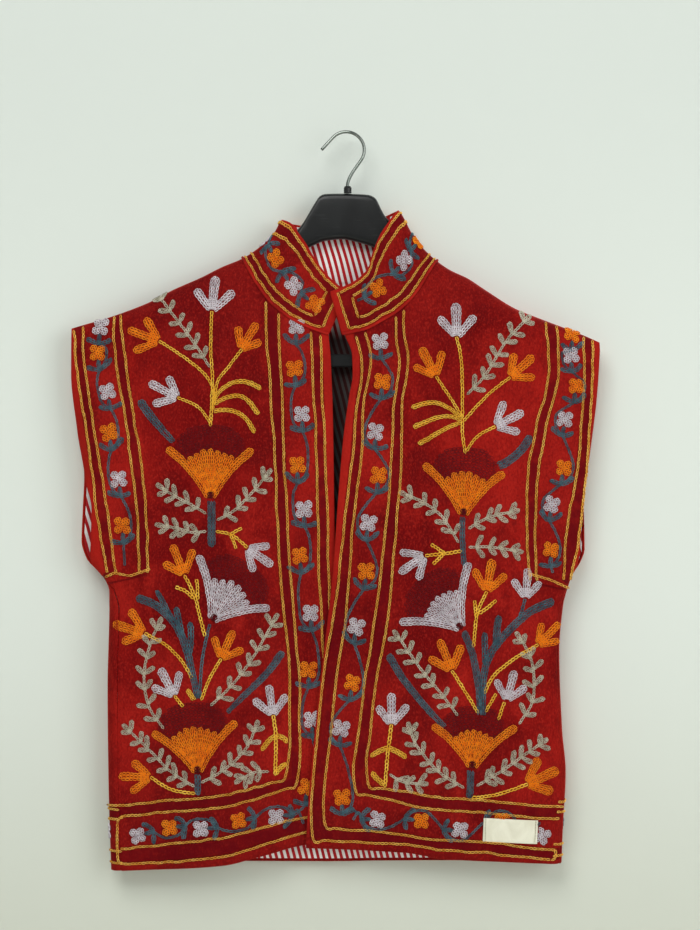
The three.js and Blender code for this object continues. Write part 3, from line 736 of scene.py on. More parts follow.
class Sampler:
    """Rows of chain stitch in a flat chart, by the colour of their yarn."""

    def __init__(self):
        self.rows = {}

    def row(self, colour, points, width=CHAIN, lift=0.0, pitch=PITCH, wobble=0.0):
        points = np.array(points, float)
        line = spline(points + chance.uniform(-wobble, wobble, points.shape))
        self.rows.setdefault(colour, []).append((line, width, lift, pitch))

    def stroke(self, colour, points, width, foot=None, lift=0.0):
        """A thick stroke of rows side by side, round at its tip and as wide as foot at its start."""
        if width < THIN:
            self.row(colour, points, width=width * THIN_SHARE, lift=lift, pitch=THIN_PITCH)
            return
        line = spline(points, 10)
        foot = width if foot is None else foot
        share = lengths_along(line) / lengths_along(line)[-1]
        step = np.gradient(line, axis=0)
        aside = leftward(step) / np.linalg.norm(step, axis=1)[:, None]
        rows = max(2, round(width / ROW_SPACING))
        wide = width / rows * ROW_OVERLAP
        half = np.maximum(HALF_LEAST, (foot + (width - foot) * np.sqrt(share) - wide) / 2)
        inside = np.unique(np.linspace(0, len(line) - 1, max(3, len(line) // 7 + 1)).astype(int))[:-1]
        ahead, left = step[-1] / np.linalg.norm(step[-1]), aside[-1]
        end = line[-1] - ahead * half[-1]
        tip = [end + half[-1] * (ahead * math.sin(a) + left * math.cos(a)) for a in TIP_TURNS]
        outline = [
            (line + aside * half[:, None])[inside], end + left * half[-1], tip,
            end - left * half[-1], (line - aside * half[:, None])[inside[::-1]],
        ]
        self.row(colour, np.vstack(outline), width=wide, lift=lift)
        for k in range(rows - 2):
            spread = (2 * k + 2) / (rows - 1) - 1
            start = 1 if half[0] < 1.5 else 0
            inner = (line + aside * (half * spread)[:, None])[inside[start:]]
            near_tip = line[-1] - ahead * wide * 0.9 + left * half[-1] * spread
            self.row(colour, np.vstack([inner, near_tip]), width=wide, lift=lift)

    def petal(self, colour, foot, heading, long, width):
        ahead, _ = turned(heading)
        foot = np.array(foot, float)
        tip = foot + ahead * long
        self.stroke(colour, (foot, (foot + tip) / 2, tip), width, foot=width * 0.7)

    def tulip(self, colour, foot, heading, size=38, spread=TULIP_SPREAD):
        """Three petals that open from one cup."""
        ahead, left = turned(heading)
        foot = np.array(foot, float)
        for side in (-1, 1):
            lean = spread / TULIP_SPREAD * chance.uniform(0.9, 1.1)
            long = size * chance.uniform(0.95, 1.06)
            spots = ((0.05, 0.06), (0.26, 0.22 * lean), (0.57, 0.47 * lean))
            points = [foot + ahead * long * a + left * side * long * b for a, b in spots]
            self.stroke(colour, points, size * chance.uniform(0.26, 0.295), foot=size * 0.17)
        middle = foot + ahead * size * 0.06
        self.petal(colour, middle, heading, size * 0.9, size * chance.uniform(0.27, 0.31))
        for rise, wide in TULIP_CUP:
            bend = ((rise - 0.03 * s * s, wide * s) for s in (-1, 0, 1))
            across = [foot + ahead * size * a + left * size * b for a, b in bend]
            self.row(colour, across, width=3.6, lift=-0.1)

    def stalk(self, points, width):
        self.row("gold", points, width=width)

    def on_stalk(self, colour, points, width, heading, size):
        """A tulip at the end of its gold stalk."""
        self.stalk(points, width)
        self.tulip(colour, points[-1], heading, size=size)

    def stem(self, points, width, foot=None):
        self.stroke("slate", points, width, foot=foot)

    def bud(self, points, width, foot=None):
        self.stroke("gold", points, width, foot=foot)

    def blades(self, *blades):
        """Gold leaves that widen from their foot."""
        for blade in blades:
            self.bud(blade, 5.8, foot=3.4)

    def fan(self, colour, apex, heading, half=42, arms=(66, 66), reach=50, scallops=7):
        """A close fan of rays with a scalloped rim between two long arms, under a wine cap."""
        apex = np.array(apex, float)
        open_half = half - 9
        for k in range(CAP_ROWS):
            radius = reach - 6 + CAP_SPACING * k
            wide = (half - 3) * (1 - (k / CAP_ROWS) ** CAP_POWER) ** 0.5 * chance.uniform(0.97, 1.02)
            arc = [apex + turned(heading + wide * s)[0] * radius for s in np.linspace(-1, 1, 7)]
            self.row("wine", arc, width=3.8, lift=-0.6)
        each = 2 * open_half / scallops
        for k in range(scallops):
            at = heading - open_half + each * (k + 0.5)
            rim = reach * (1 - 0.05 * abs(2 * k / (scallops - 1) - 1)) * chance.uniform(0.98, 1.02)
            spread = each * 0.29
            start = RAY_STARTS[k % 2]
            stops = (start, (start + rim) / 2, rim - 3.4)
            out, back = [[apex + turned(at + s * spread)[0] * r for r in stops] for s in (-1, 1)]
            middle = turned(at)[0]
            self.row(colour, (*out, apex + middle * (rim - 0.8), *back[::-1]), width=3.4)
            self.row(colour, (apex + middle * ROW_START, apex + middle * (rim - 4)), width=3.3, lift=0.15)
        for side, long in zip((1, -1), arms):
            foot = apex + turned(heading + side * 75)[0] * 3.2
            middle = apex + turned(heading + side * (half - 6))[0] * long * 0.5
            tip = apex + turned(heading + side * half)[0] * long
            self.stroke(colour, (foot, middle, tip), 9.6, foot=6, lift=0.1)
        for radius in (2.6, 1.2):
            ring = [apex + turned(heading)[0] * 3 + turned(a)[0] * radius for a in range(0, 361, 60)]
            self.row("wine", ring, width=3.2, lift=0.6, pitch=2.8)

    def fern(self, points, pairs=6, leaf=14.5):
        """A stem with small looped leaves in pairs, and one at its tip."""
        line = spline(points)
        self.row("sage", points, width=3.5, pitch=3.4)
        total = lengths_along(line)[-1]
        for k in range(pairs):
            shares = np.array((k + 0.6, k + 0.75))
            before, at = at_lengths(line, total * shares / (pairs + 0.1))
            heading = heading_of(at - before)
            for side in (1, -1):
                lean = side * chance.uniform(38, 62)
                long = leaf * chance.uniform(0.85, 1.1) * (1 - 0.1 * k / pairs)
                shift = turned(heading)[0] * chance.uniform(-2.4, 2.4)
                self.leaf(at + shift, heading + lean, long)
        end = heading_of(line[-1] - line[-4])
        self.leaf(line[-1] - turned(end)[0] * 3, end, leaf * 0.85)

    def leaf(self, foot, heading, long):
        ahead, left = turned(heading)
        swell = left * (LEAF_WIDTH - LEAF_YARN) / 2
        near, far = foot + ahead * long * 0.35, foot + ahead * long * 0.8
        tip = foot + ahead * (long - 1.0)
        round_it = (foot, near + swell * 0.8, far + swell, tip, far - swell, near - swell * 0.8)
        self.row("sage", (*round_it, foot + ahead), width=LEAF_YARN, pitch=LEAF_PITCH)

    def blossom(self, colour, centre, heading, size):
        """Four round lobes, each a curled row round its own middle."""
        for k in range(4):
            out = turned(heading + 45 + 90 * k + chance.uniform(-6, 6))[0]
            middle = centre + out * size * 0.285 * chance.uniform(0.92, 1.1)
            start = heading + 225 + 90 * k
            curl = [middle + turned(start + 60 * s)[0] * size * 0.155 for s in range(7)]
            self.row(colour, curl, width=3.6, pitch=size * 0.155, lift=0.2)
            self.row(colour, (middle - out * 1.9, middle + out * 1.9), width=2.9, lift=0.45)
        for k in range(2):
            ahead = turned(heading + 90 * k)[0] * 2.2
            self.row(colour, (centre - ahead, centre + ahead), width=3.4, lift=0.1)

    def vine(self, spots, yarns=("lilac", "orange"), first=1, size=21, side_of=11.5, tail=()):
        """A slate stem that winds from one blossom to the next, with leaves under each."""
        spots = np.array(spots, float)
        steps = np.gradient(spots, axis=0)
        aheads = steps / np.linalg.norm(steps, axis=1)[:, None]
        lefts = leftward(aheads)
        joints = spots + aheads * size * 0.88
        for k, (spot, ahead, left, joint) in enumerate(zip(spots, aheads, lefts, joints)):
            heading = heading_of(ahead) + chance.uniform(-9, 9)
            self.blossom(yarns[k % len(yarns)], spot, heading, size * chance.uniform(0.95, 1.05))
            self.stem((joint + ahead * size * 0.06, spot + ahead * size * 0.4), 5.6, foot=4.4)
            for side in (1, -1):
                aside = left * side * size
                reach, fall = chance.uniform(0.52, 0.68), chance.uniform(0.1, 0.55)
                bend = joint + aside * 0.34 - ahead * size * fall * 0.35
                tip = joint + aside * reach - ahead * size * fall
                self.stem((joint + aside * 0.04, bend, tip), 6.2, foot=4.4)
            if k + 1 == len(spots):
                break
            bulge = lefts[k + 1] * (first * (-1) ** k) * side_of
            beside, on = spots[k + 1], aheads[k + 1] * size
            self.row("slate", (
                joint,
                joint + (beside - joint) * 0.4 + bulge * 0.62,
                beside + bulge - on * 0.16,
                beside + bulge * 0.78 + on * 0.5,
                joints[k + 1],
            ))
        if tail:
            self.row("slate", (joints[-1], *tail))


def sew(panel, sampler, yarns, slot="velvet"):
    """Makes the links of all the rows on a panel's face, one joined piece for each colour."""
    loop = np.array(LOOP)
    after, before = np.roll(loop, -1, axis=0), np.roll(loop, 1, axis=0)
    run = (after - before)[:, :2] * (PITCH, CHAIN / 2 * 0.9)
    across = np.stack([run[:, 1], -run[:, 0]], -1)
    across /= np.linalg.norm(across, axis=1)[:, None]
    for colour, rows in sampler.rows.items():
        starts, steps, widths, lifts = [], [], [], []
        for line, width, lift, pitch in rows:
            total = lengths_along(line)[-1]
            count = max(1, round(total / pitch))
            spots = at_lengths(line, np.linspace(0, total, count + 1))
            starts.append(spots[:-1])
            steps.append(np.diff(spots, axis=0))
            widths.append(np.full(count, width))
            lifts.append(np.full(count, lift))
        start, step = np.vstack(starts), np.vstack(steps)
        start = start + chance.uniform(-LINK_SHIFT, LINK_SHIFT, start.shape)
        width = np.concatenate(widths) * chance.uniform(*LINK_WIDTHS, len(start))
        lift = np.concatenate(lifts) + chance.uniform(-LINK_LIFT, LINK_LIFT, len(start))
        if panel is FRONT_RIGHT and slot == "velvet":
            bare = ~under_label(start + step / 2)
            start, step, width, lift = start[bare], step[bare], width[bare], lift[bare]
        count = len(start)
        unit = step / (np.linalg.norm(step, axis=1)[:, None] + 1e-9)
        left = leftward(unit)
        centre = start[:, None] + step[:, None] * loop[:, 0, None]
        centre = centre + left[:, None] * loop[:, 1, None] * width[:, None, None] / 2
        outer = unit[:, None] * across[:, :1] + left[:, None] * across[:, 1:]
        flat, heights = [], []
        strand = (STRAND * width + STRAND_LEAST)[:, None, None]
        for aside, rise in ((1, 0.0), (0, 1.0), (-1, 0.0)):
            flat.append(centre + outer * aside * strand)
            heights.append(0.1 + loop[:, 2] * rise + lift[:, None])
        spots, raised = np.stack(flat, 2), np.stack(heights, 2)
        points = panel.place(spots.reshape(-1, 2), raised.reshape(-1))
        ids = np.arange(len(loop) * 3).reshape(len(loop), 3)
        on = np.roll(ids, -1, axis=0)
        around = np.roll(ids, -1, axis=1)
        quads = np.stack([ids, on, np.roll(on, -1, axis=1), around], -1).reshape(-1, 4)
        faces = (quads[None] + np.arange(count)[:, None, None] * len(loop) * 3).reshape(-1, 4)
        shade = np.repeat(chance.uniform(0, 1, count), len(loop) * 3)
        name = f"{panel.name}_chain_{colour}"
        crest = np.tile([0, 1, 0], count * len(loop))
        piece = new_piece(name, points, outward(points, faces), yarns[colour], shade=shade, crest=crest)


# ---------------------------------------------------------------- shared effects


def dyed(red, green, blue):
    """The colour of a dye from its three display values, 0 to 255."""
    linear = [((v / 255 + 0.055) / 1.055) ** 2.4 if v > 10 else v / 255 / 12.92 for v in (red, green, blue)]
    return (*linear, 1)


class Nodes:
    """The nodes of a material or of a shared effect."""

    def __init__(self, tree):
        self.tree, self.link = tree, tree.links.new

    def put(self, kind, inputs=None, **settings):
        """Adds a node and fills its sockets with values or with what other nodes put out."""
        node = self.tree.nodes.new(f"ShaderNode{kind}")
        for key, value in settings.items():
            setattr(node, key, value)
        for key, value in (inputs or {}).items():
            if isinstance(value, bpy.types.NodeSocket):
                self.link(value, node.inputs[key])
            else:
                node.inputs[key].default_value = value
        return node

    def use(self, group, **values):
        """Puts in a shared effect with its own values."""
        node = self.tree.nodes.new("ShaderNodeGroup")
        node.node_tree = group
        for key, value in values.items():
            node.inputs[key].default_value = value
        return node.outputs

    def work(self, how, first, second=0.0):
        return self.put("Math", {0: first, 1: second}, operation=how).outputs[0]

    def times(self, first, second):
        return self.work("MULTIPLY", first, second)

    def between(self, value, low, high, to_low=0.0, to_high=1.0):
        ends = {"From Min": low, "From Max": high, "To Min": to_low, "To Max": to_high}
        return self.put("MapRange", {"Value": value, **ends}, interpolation_type="SMOOTHSTEP").outputs[0]

    def blend(self, share, first, second):
        """A share of a second colour over a first one; a tuple is a dye."""
        first, second = [dyed(*c) if isinstance(c, tuple) else c for c in (first, second)]
        return self.put("Mix", {0: share, 6: first, 7: second}, data_type="RGBA").outputs[2]

    def layered(self, base, *layers):
        """Lays dyes over a base. A layer is a value, where it starts and ends, its share and its dye."""
        for value, start, end, share, dye in layers:
            base = self.blend(self.between(value, start, end, 0, share), base, dye)
        return base

    def placed(self, turn=0.0, scale=(1, 1, 1)):
        """The piece's own coordinates in metres, scaled and then turned about Y, in radians."""
        spot = self.put("TexCoord").outputs["Object"]
        inputs = {"Vector": spot, "Rotation": (0, turn, 0), "Scale": scale}
        return self.put("Mapping", inputs).outputs[0]

    def axes(self, turn=0.0):
        return self.put("SeparateXYZ", {0: self.placed(turn)}).outputs

    def noise(self, scale, detail=2.0, rough=0.5, warp=0.0, rise=1, turn=0.0):
        """Clouds; a rise under 1 draws them out along Z."""
        inputs = {"Scale": scale, "Detail": detail, "Roughness": rough, "Distortion": warp}
        return self.put("TexNoise", {"Vector": self.placed(turn, (1, 1, rise)), **inputs}).outputs["Fac"]

    def carried(self, name):
        """A value that the piece carries at each of its points."""
        return self.put("Attribute", attribute_name=name).outputs["Fac"]

    def facing(self, share):
        return self.put("LayerWeight", {"Blend": share}).outputs["Facing"]

    def bumped(self, height, depth, strength=1.0, under=None):
        """A normal from a height; depth is in millimetres."""
        inputs = {"Height": height, "Distance": depth * MM, "Strength": strength}
        if under is not None:
            inputs["Normal"] = under
        return self.put("Bump", inputs).outputs[0]


class Surface(Nodes):
    """A new material with the plain values of its shader set."""

    def __init__(self, name, **plain):
        self.material = bpy.data.materials.new(name)
        self.material.use_nodes = True
        super().__init__(self.material.node_tree)
        self.skin = self.tree.nodes["Principled BSDF"].inputs
        for key, value in plain.items():
            self.skin[key.replace("_", " ")].default_value = value

    def dress(self, colour, rough, normal):
        """Leads a colour, a roughness and a normal to the shader; rough is a value and its two ends."""
        value, smooth, dull = rough
        self.link(colour, self.skin["Base Color"])
        self.link(self.between(value, 0, 1, smooth, dull), self.skin["Roughness"])
        self.link(normal, self.skin["Normal"])
        return self.material


def effect(name, inputs, outputs):
    """A shared effect with its named inputs and outputs."""
    tree = bpy.data.node_groups.new(name, "ShaderNodeTree")
    for key, value in inputs.items():
        socket = tree.interface.new_socket(key, in_out="INPUT", socket_type="NodeSocketFloat")
        socket.default_value = value
    for key in outputs:
        tree.interface.new_socket(key, in_out="OUTPUT", socket_type="NodeSocketFloat")
    ends = [tree.nodes.new(f"NodeGroup{end}") for end in ("Input", "Output")]
    return Nodes(tree), ends[0].outputs, ends[1].inputs


def make_uneven():
    """Slow patches and small flecks, as dye, handling and dust leave them."""
    n, given, out = effect("uneven finish", {"Patches": 9.0, "Flecks": 140.0}, ("Patch", "Fleck"))
    n.link(n.between(n.noise(given["Patches"], 4, 0.55, 0.6, rise=0.55), 0.34, 0.68), out["Patch"])
    n.link(n.between(n.noise(given["Flecks"], 3, 0.6), 0.3, 0.7), out["Fleck"])
    return n.tree


def make_weave():
    """Threads over and under each other; Tilt turns them, in radians."""
    n, given, out = effect("plain weave", {"Threads": 1400.0, "Tilt": 0.0}, ("Height",))
    turn = n.put("CombineXYZ", {"Y": given["Tilt"]}).outputs[0]
    inputs = {"Vector": n.put("TexCoord").outputs["Object"], "Rotation": turn}
    place = n.put("VectorRotate", inputs, rotation_type="EULER_XYZ").outputs[0]
    along = n.put("SeparateXYZ", {0: place}).outputs
    waves = [n.work("SINE", n.times(along[axis], given["Threads"])) for axis in "XZ"]
    n.link(n.work("MULTIPLY_ADD", n.times(*waves), 0.5), out["Height"])
    return n.tree


UNEVEN, WEAVE = make_uneven(), make_weave()


# ---------------------------------------------------------------- materials

# Steps of the band at which its wine strips lie, how soft their edges are, and half a seam's width
WINE_STRIPS, STRIP_SOFT, SEAM_HALF = ((11.5, 18.5), (55.5, 61.5)), 0.7, 1.2
# The painted highlight along the edges, where the turned cloth catches the light: the steps over which it
# fades, and the heights, in metres, below which it dims towards the hem
EDGE_HIGHLIGHT, EDGE_HIGHLIGHT_HEIGHTS = (6.5, 9.5), (-0.765, -0.74)
# Broad strokes of painted shade (below 0) and painted light on the pile: X and Z in metres, reach, share
SHADE_AND_LIGHT_STROKES = (
    (-0.14, -0.175, 0.12, -0.55),
    (0.10, -0.17, 0.11, -0.45),
    (0.20, -0.33, 0.13, 0.55),
    (-0.29, -0.30, 0.06, -0.3),
    (-0.16, -0.72, 0.12, -0.45),
    (0.0, -0.64, 0.09, 0.4),
    (0.22, -0.70, 0.07, 0.35),
    (-0.255, -0.66, 0.06, 0.3),
    (0.0, -0.36, 0.07, 0.3),
    (0.03, -0.80, 0.13, -0.3),
)
# How far the borders of the strokes stray, in metres, and the dyes of the painted shade and the painted
# light
STRAY, PAINTED_SHADE_DYE, PAINTED_LIGHT_DYE = 0.09, (92, 8, 11), (162, 28, 21)


def channel(s, step, low, high):
    """A mask of one strip of a band, soft at both its edges."""
    on = s.between(step, low - STRIP_SOFT, low + STRIP_SOFT)
    return s.times(on, s.between(step, high - STRIP_SOFT, high + STRIP_SOFT, 1, 0))


def paint_light_and_shade(s, red):
    """Lays the broad strokes of painted shade and painted light over a red, each with a ragged border."""
    ragged = s.put("TexNoise", {"Vector": s.placed(), "Scale": 14.0, "Detail": 3.0}).outputs["Color"]
    inputs = {0: ragged, 1: (STRAY, 0, STRAY), 2: s.placed(scale=(1, 0, 1))}
    spot = s.put("VectorMath", inputs, operation="MULTIPLY_ADD").outputs[0]
    for x, z, reach, share in SHADE_AND_LIGHT_STROKES:
        middle = (x + STRAY / 2, 0, z + STRAY / 2)
        away = s.put("VectorMath", {0: spot, 1: middle}, operation="DISTANCE").outputs["Value"]
        # Each stroke is painted shade or painted light, by the sign of its share
        dye = PAINTED_LIGHT_DYE if share > 0 else PAINTED_SHADE_DYE
        red = s.layered(red, (away, reach, reach / 4, abs(share), dye))
    return red


def velvet_pile():
    s = Surface(
        "velvet pile", Sheen_Weight=0.07, Sheen_Roughness=0.35, Sheen_Tint=dyed(255, 70, 44),
        Specular_IOR_Level=0.05,
    )
    marks = s.use(UNEVEN, Patches=8.0, Flecks=210.0)
    step, height = s.carried("band"), s.axes()["Z"]
    nap = s.noise(26, 4, 0.55, 0.5, rise=0.7)
    grain = s.noise(620, 2, 0.6, rise=0.6)
    red = s.blend(marks["Patch"], (106, 8, 9), (144, 22, 17))
    red = s.layered(red, (nap, 0.47, 0.68, 0.5, (160, 30, 23)), (nap, 0.5, 0.32, 0.6, (88, 7, 9)))
    # Painted shade and painted light in broad strokes, painted shade that darkens the pile towards the hem,
    # then fine grain
    red = s.layered(
        paint_light_and_shade(s, red), (height, -0.68, -0.77, 0.4, (90, 8, 11)),
        (grain, 0.5, 0.7, 0.35, (178, 42, 32)), (grain, 0.5, 0.3, 0.4, (78, 5, 8)),
    )
    # Painted highlight along the edges, dimmed towards the hem
    edge = s.times(s.between(step, *EDGE_HIGHLIGHT, 0.46, 0), s.between(height, *EDGE_HIGHLIGHT_HEIGHTS, 0.2, 1))
    red = s.blend(edge, red, (178, 34, 25))
    wine = s.work("MAXIMUM", *[channel(s, step, low, high) for low, high in WINE_STRIPS])
    blotch = s.between(s.noise(75, 3, 0.6), 0.36, 0.62, 0.5, 0.86)
    red = s.blend(s.times(wine, blotch), red, (92, 5, 13))
    # Painted shade darkens the pile in the sunk lines under the gold chain
    seams = 0.0
    for at in BAND_STEPS[1:]:
        seams = s.work("MAXIMUM", channel(s, step, at - SEAM_HALF, at + SEAM_HALF), seams)
    red = s.blend(s.times(seams, 0.45), red, (70, 8, 10))
    # Painted sheen: the pile is dyed brighter where its surface turns away from the view
    red = s.layered(red, (s.facing(0.35), 0.35, 0.98, 0.55, (196, 46, 32)))
    pile = s.bumped(s.noise(900), 0.22, 0.5)
    crush = s.bumped(s.noise(55, 4, 0.6, 0.5, rise=0.45), 1.6, 0.5, pile)
    return s.dress(red, (marks["Fleck"], 0.78, 0.95), s.bumped(seams, -0.9, 0.8, crush))


# The piping is dyed brighter than the panels as a painted highlight where its rolled edge catches the light
def bright_piping():
    s = Surface(
        "bright velvet piping", Sheen_Weight=0.12, Sheen_Roughness=0.4, Sheen_Tint=dyed(255, 90, 60),
        Specular_IOR_Level=0.1,
    )
    marks = s.use(UNEVEN, Patches=26.0, Flecks=420.0)
    patch, fleck = [s.blend(marks[key], (122, 13, 12), (178, 34, 25)) for key in ("Patch", "Fleck")]
    pile = s.bumped(s.noise(1100), 0.25, 0.6)
    return s.dress(s.blend(0.3, patch, fleck), (marks["Fleck"], 0.75, 0.95), pile)


def chain_yarn(name, dark, light, deep):
    """Twisted cotton yarn; each link has its own shade, and painted shade in the deep dye darkens it where
    it meets the cloth.
    """
    s = Surface(name, Specular_IOR_Level=0.12, Sheen_Weight=0.04, Sheen_Roughness=0.5)
    marks = s.use(UNEVEN, Patches=30.0, Flecks=900.0)
    tone = s.blend(s.carried("shade"), dark, light)
    tone = s.blend(s.times(marks["Fleck"], 0.35), tone, light)
    tone = s.blend(s.times(marks["Patch"], 0.25), tone, dark)
    # Painted shade: the deep dye darkens each link towards its foot on the cloth
    tone = s.blend(s.between(s.carried("crest"), 0.05, 0.5, 0.75, 0), tone, deep)
    ply = s.bumped(s.noise(1900, rise=0.35, turn=0.7), 0.18, 0.6)
    return s.dress(tone, (marks["Fleck"], 0.55, 0.85), ply)


# The lining's stripes: their width in metres, their slant in degrees, and how far they waver
STRIPE, SLANT, WAVER = 6.2 * MM, 15, 0.006
# The shade inside the front opening, in metres: from where to where it sets in across and in height
SHADE_ACROSS, SHADE_TOP, SHADE_FOOT, SHADE = (0.12, 0.06), (-0.204, -0.224), (-0.66, -0.52), 0.94


def striped_cotton():
    s = Surface("striped cotton lining", Specular_IOR_Level=0.2, Sheen_Weight=0.1)
    marks = s.use(UNEVEN, Patches=14.0, Flecks=500.0)
    across = s.work("ADD", s.axes(math.radians(SLANT))["X"], s.times(s.noise(9), WAVER))
    wave = s.work("SINE", s.times(across, 2 * math.pi / STRIPE))
    ragged = s.work("MULTIPLY_ADD", s.noise(900), 0.3)
    stripe = s.between(s.work("ADD", wave, ragged), 0.46, 0.7)
    white = s.blend(marks["Patch"], (226, 219, 216), (242, 237, 234))
    red = s.blend(marks["Fleck"], (158, 16, 26), (186, 28, 36))
    spot = s.axes()
    within = s.between(s.work("ABSOLUTE", spot["X"]), *SHADE_ACROSS)
    for ends in (SHADE_TOP, SHADE_FOOT):
        within = s.times(within, s.between(spot["Z"], *ends))
    cotton = s.blend(s.times(within, SHADE), s.blend(stripe, white, red), (30, 15, 14))
    creased = s.bumped(s.noise(38, 3, 0.5, 0.4), 1.6, 0.5)
    weave = s.bumped(s.use(WEAVE, Threads=5200.0)["Height"], 0.12, 0.6, creased)
    return s.dress(cotton, (marks["Fleck"], 0.75, 0.92), weave)


def cream_tape():
    s = Surface("cream woven tape", Specular_IOR_Level=0.3, Sheen_Weight=0.08)
    marks = s.use(UNEVEN, Patches=60.0, Flecks=1300.0)
    weave = s.use(WEAVE, Threads=7600.0, Tilt=math.radians(-LABEL_TURN))["Height"]
    cream = s.blend(marks["Patch"], (216, 213, 192), (230, 228, 209))
    cream = s.blend(s.between(weave, -0.5, 0.5, 0.3, 0), cream, (176, 172, 146))
    soft = s.bumped(s.noise(70), 0.5, 0.4)
    return s.dress(cream, (marks["Fleck"], 0.6, 0.8), s.bumped(weave, 0.1, 0.5, soft))


def moulded_plastic():
    s = Surface("moulded black plastic", Specular_IOR_Level=0.3, Coat_Weight=0.04, Coat_Roughness=0.25)
    marks = s.use(UNEVEN, Patches=22.0, Flecks=420.0)
    black = s.blend(marks["Patch"], (15, 16, 17), (18, 20, 21))
    dust = s.times(s.between(s.noise(1500), 0.66, 0.78), marks["Patch"])
    scuffs = s.noise(60, 3, 0.6, rise=9, turn=0.5)
    black = s.blend(s.times(dust, 0.12), black, (120, 120, 116))
    black = s.layered(black, (scuffs, 0.6, 0.74, 0.1, (84, 86, 86)))
    return s.dress(black, (marks["Patch"], 0.285, 0.32), s.bumped(s.noise(1400), 0.02, 0.4))


def chromed_wire():
    s = Surface("chromed wire")
    marks = s.use(UNEVEN, Patches=70.0, Flecks=1100.0)
    steel = s.blend(marks["Patch"], (116, 124, 118), (154, 160, 154))
    drawn = s.noise(700, rise=0.2)
    # Drawn streaks, and painted shade that darkens the wire's sides where they turn from the view
    steel = s.layered(
        steel, (drawn, 0.58, 0.7, 0.35, (96, 98, 96)), (s.facing(0.5), 0.15, 0.6, 0.92, (34, 38, 36))
    )
    s.link(s.between(marks["Fleck"], 0, 1, 0.9, 1), s.skin["Metallic"])
    return s.dress(steel, (marks["Patch"], 0.14, 0.3), s.bumped(drawn, 0.03, 0.4))


VELVET_PILE = velvet_pile()
BRIGHT_PIPING = bright_piping()
STRIPED = striped_cotton()
CREAM_TAPE = cream_tape()
PLASTIC = moulded_plastic()
CHROME = chromed_wire()
LABEL_THREAD = chain_yarn("cream thread", (196, 192, 164), (216, 212, 188), (140, 134, 108))
YARNS = {
    "border": chain_yarn("border yarn", (222, 148, 38), (255, 206, 100), (118, 34, 8)),
    "gold": chain_yarn("gold yarn", (228, 164, 30), (255, 214, 84), (142, 62, 10)),
    "orange": chain_yarn("orange yarn", (232, 106, 6), (255, 158, 30), (142, 36, 4)),
    "lilac": chain_yarn("lilac yarn", (184, 175, 181), (242, 235, 240), (112, 76, 86)),
    "slate": chain_yarn("slate yarn", (38, 62, 76), (98, 130, 142), (14, 18, 26)),
    "sage": chain_yarn("sage yarn", (162, 156, 134), (226, 219, 198), (88, 52, 42)),
    "wine": chain_yarn("wine yarn", (86, 3, 12), (108, 7, 17), (60, 1, 8)),
}


# ---------------------------------------------------------------- what is sewn where

GOLD_LINE = {"width": 3.1, "pitch": 3.9, "wobble": 0.75}


def gold_lines(sampler, panel, neck, hem_ends):
    """The four gold lines down a front edge and along its hem, each to its own end."""
    side, = panel.sides
    neck = {"out": [p[0] for p in neck], "up": [p[1] for p in neck]}
    for name, hem_end in zip(LINES, hem_ends):
        edge = through(panel.edge_lines, "up", name)
        rise = through(panel.hem_lines, "x", name)
        ups = np.linspace(-160, -800, 160)
        edge_at = side.edge(np.minimum(ups, EDGE_TOP))
        down = np.stack([edge_at + side.sign * edge(ups), ups], -1)
        seam = through(neck, "out", "up")(side.sign * down[:, 0]) - 1.2
        foot = panel.hem(down[:, 0]) + rise(down[:, 0])
        down = down[(down[:, 1] < seam) & (down[:, 1] > foot + 6)]
        xs = np.linspace(down[-1, 0] + side.sign * 5, hem_end, 24)
        along = np.stack([xs, panel.hem(xs) + rise(xs)], -1)
        sampler.row("border", np.vstack([down[:-4:6], along]), **GOLD_LINE)


def hem_closing(sampler, panel, x, low, high, bend):
    """The short gold line that joins two of the hem's lines at their end."""
    foot, top = [panel.hem(x) + through(panel.hem_lines, "x", name)(x) for name in (low, high)]
    corner = (top - foot) * 0.12
    points = ((x - bend, foot), (x, foot + corner), (x, top - corner), (x - bend, top))
    sampler.row("border", points, **GOLD_LINE)


def gold_armhole(sampler, side, closing):
    """The four gold lines down an armhole, and the one that closes them off."""
    low = side.arm_lines["up"][0] + 4
    for name in LINES:
        out = through(side.arm_lines, "up", name)
        ups = np.linspace(-160, low, 160)
        ups = ups[ups < side.ridge(out(ups)) - 1.5]
        ups = np.append(ups[::6], low)
        sampler.row("border", np.stack([side.sign * out(ups), ups], -1), **GOLD_LINE)
    sampler.row("border", closing, **GOLD_LINE)


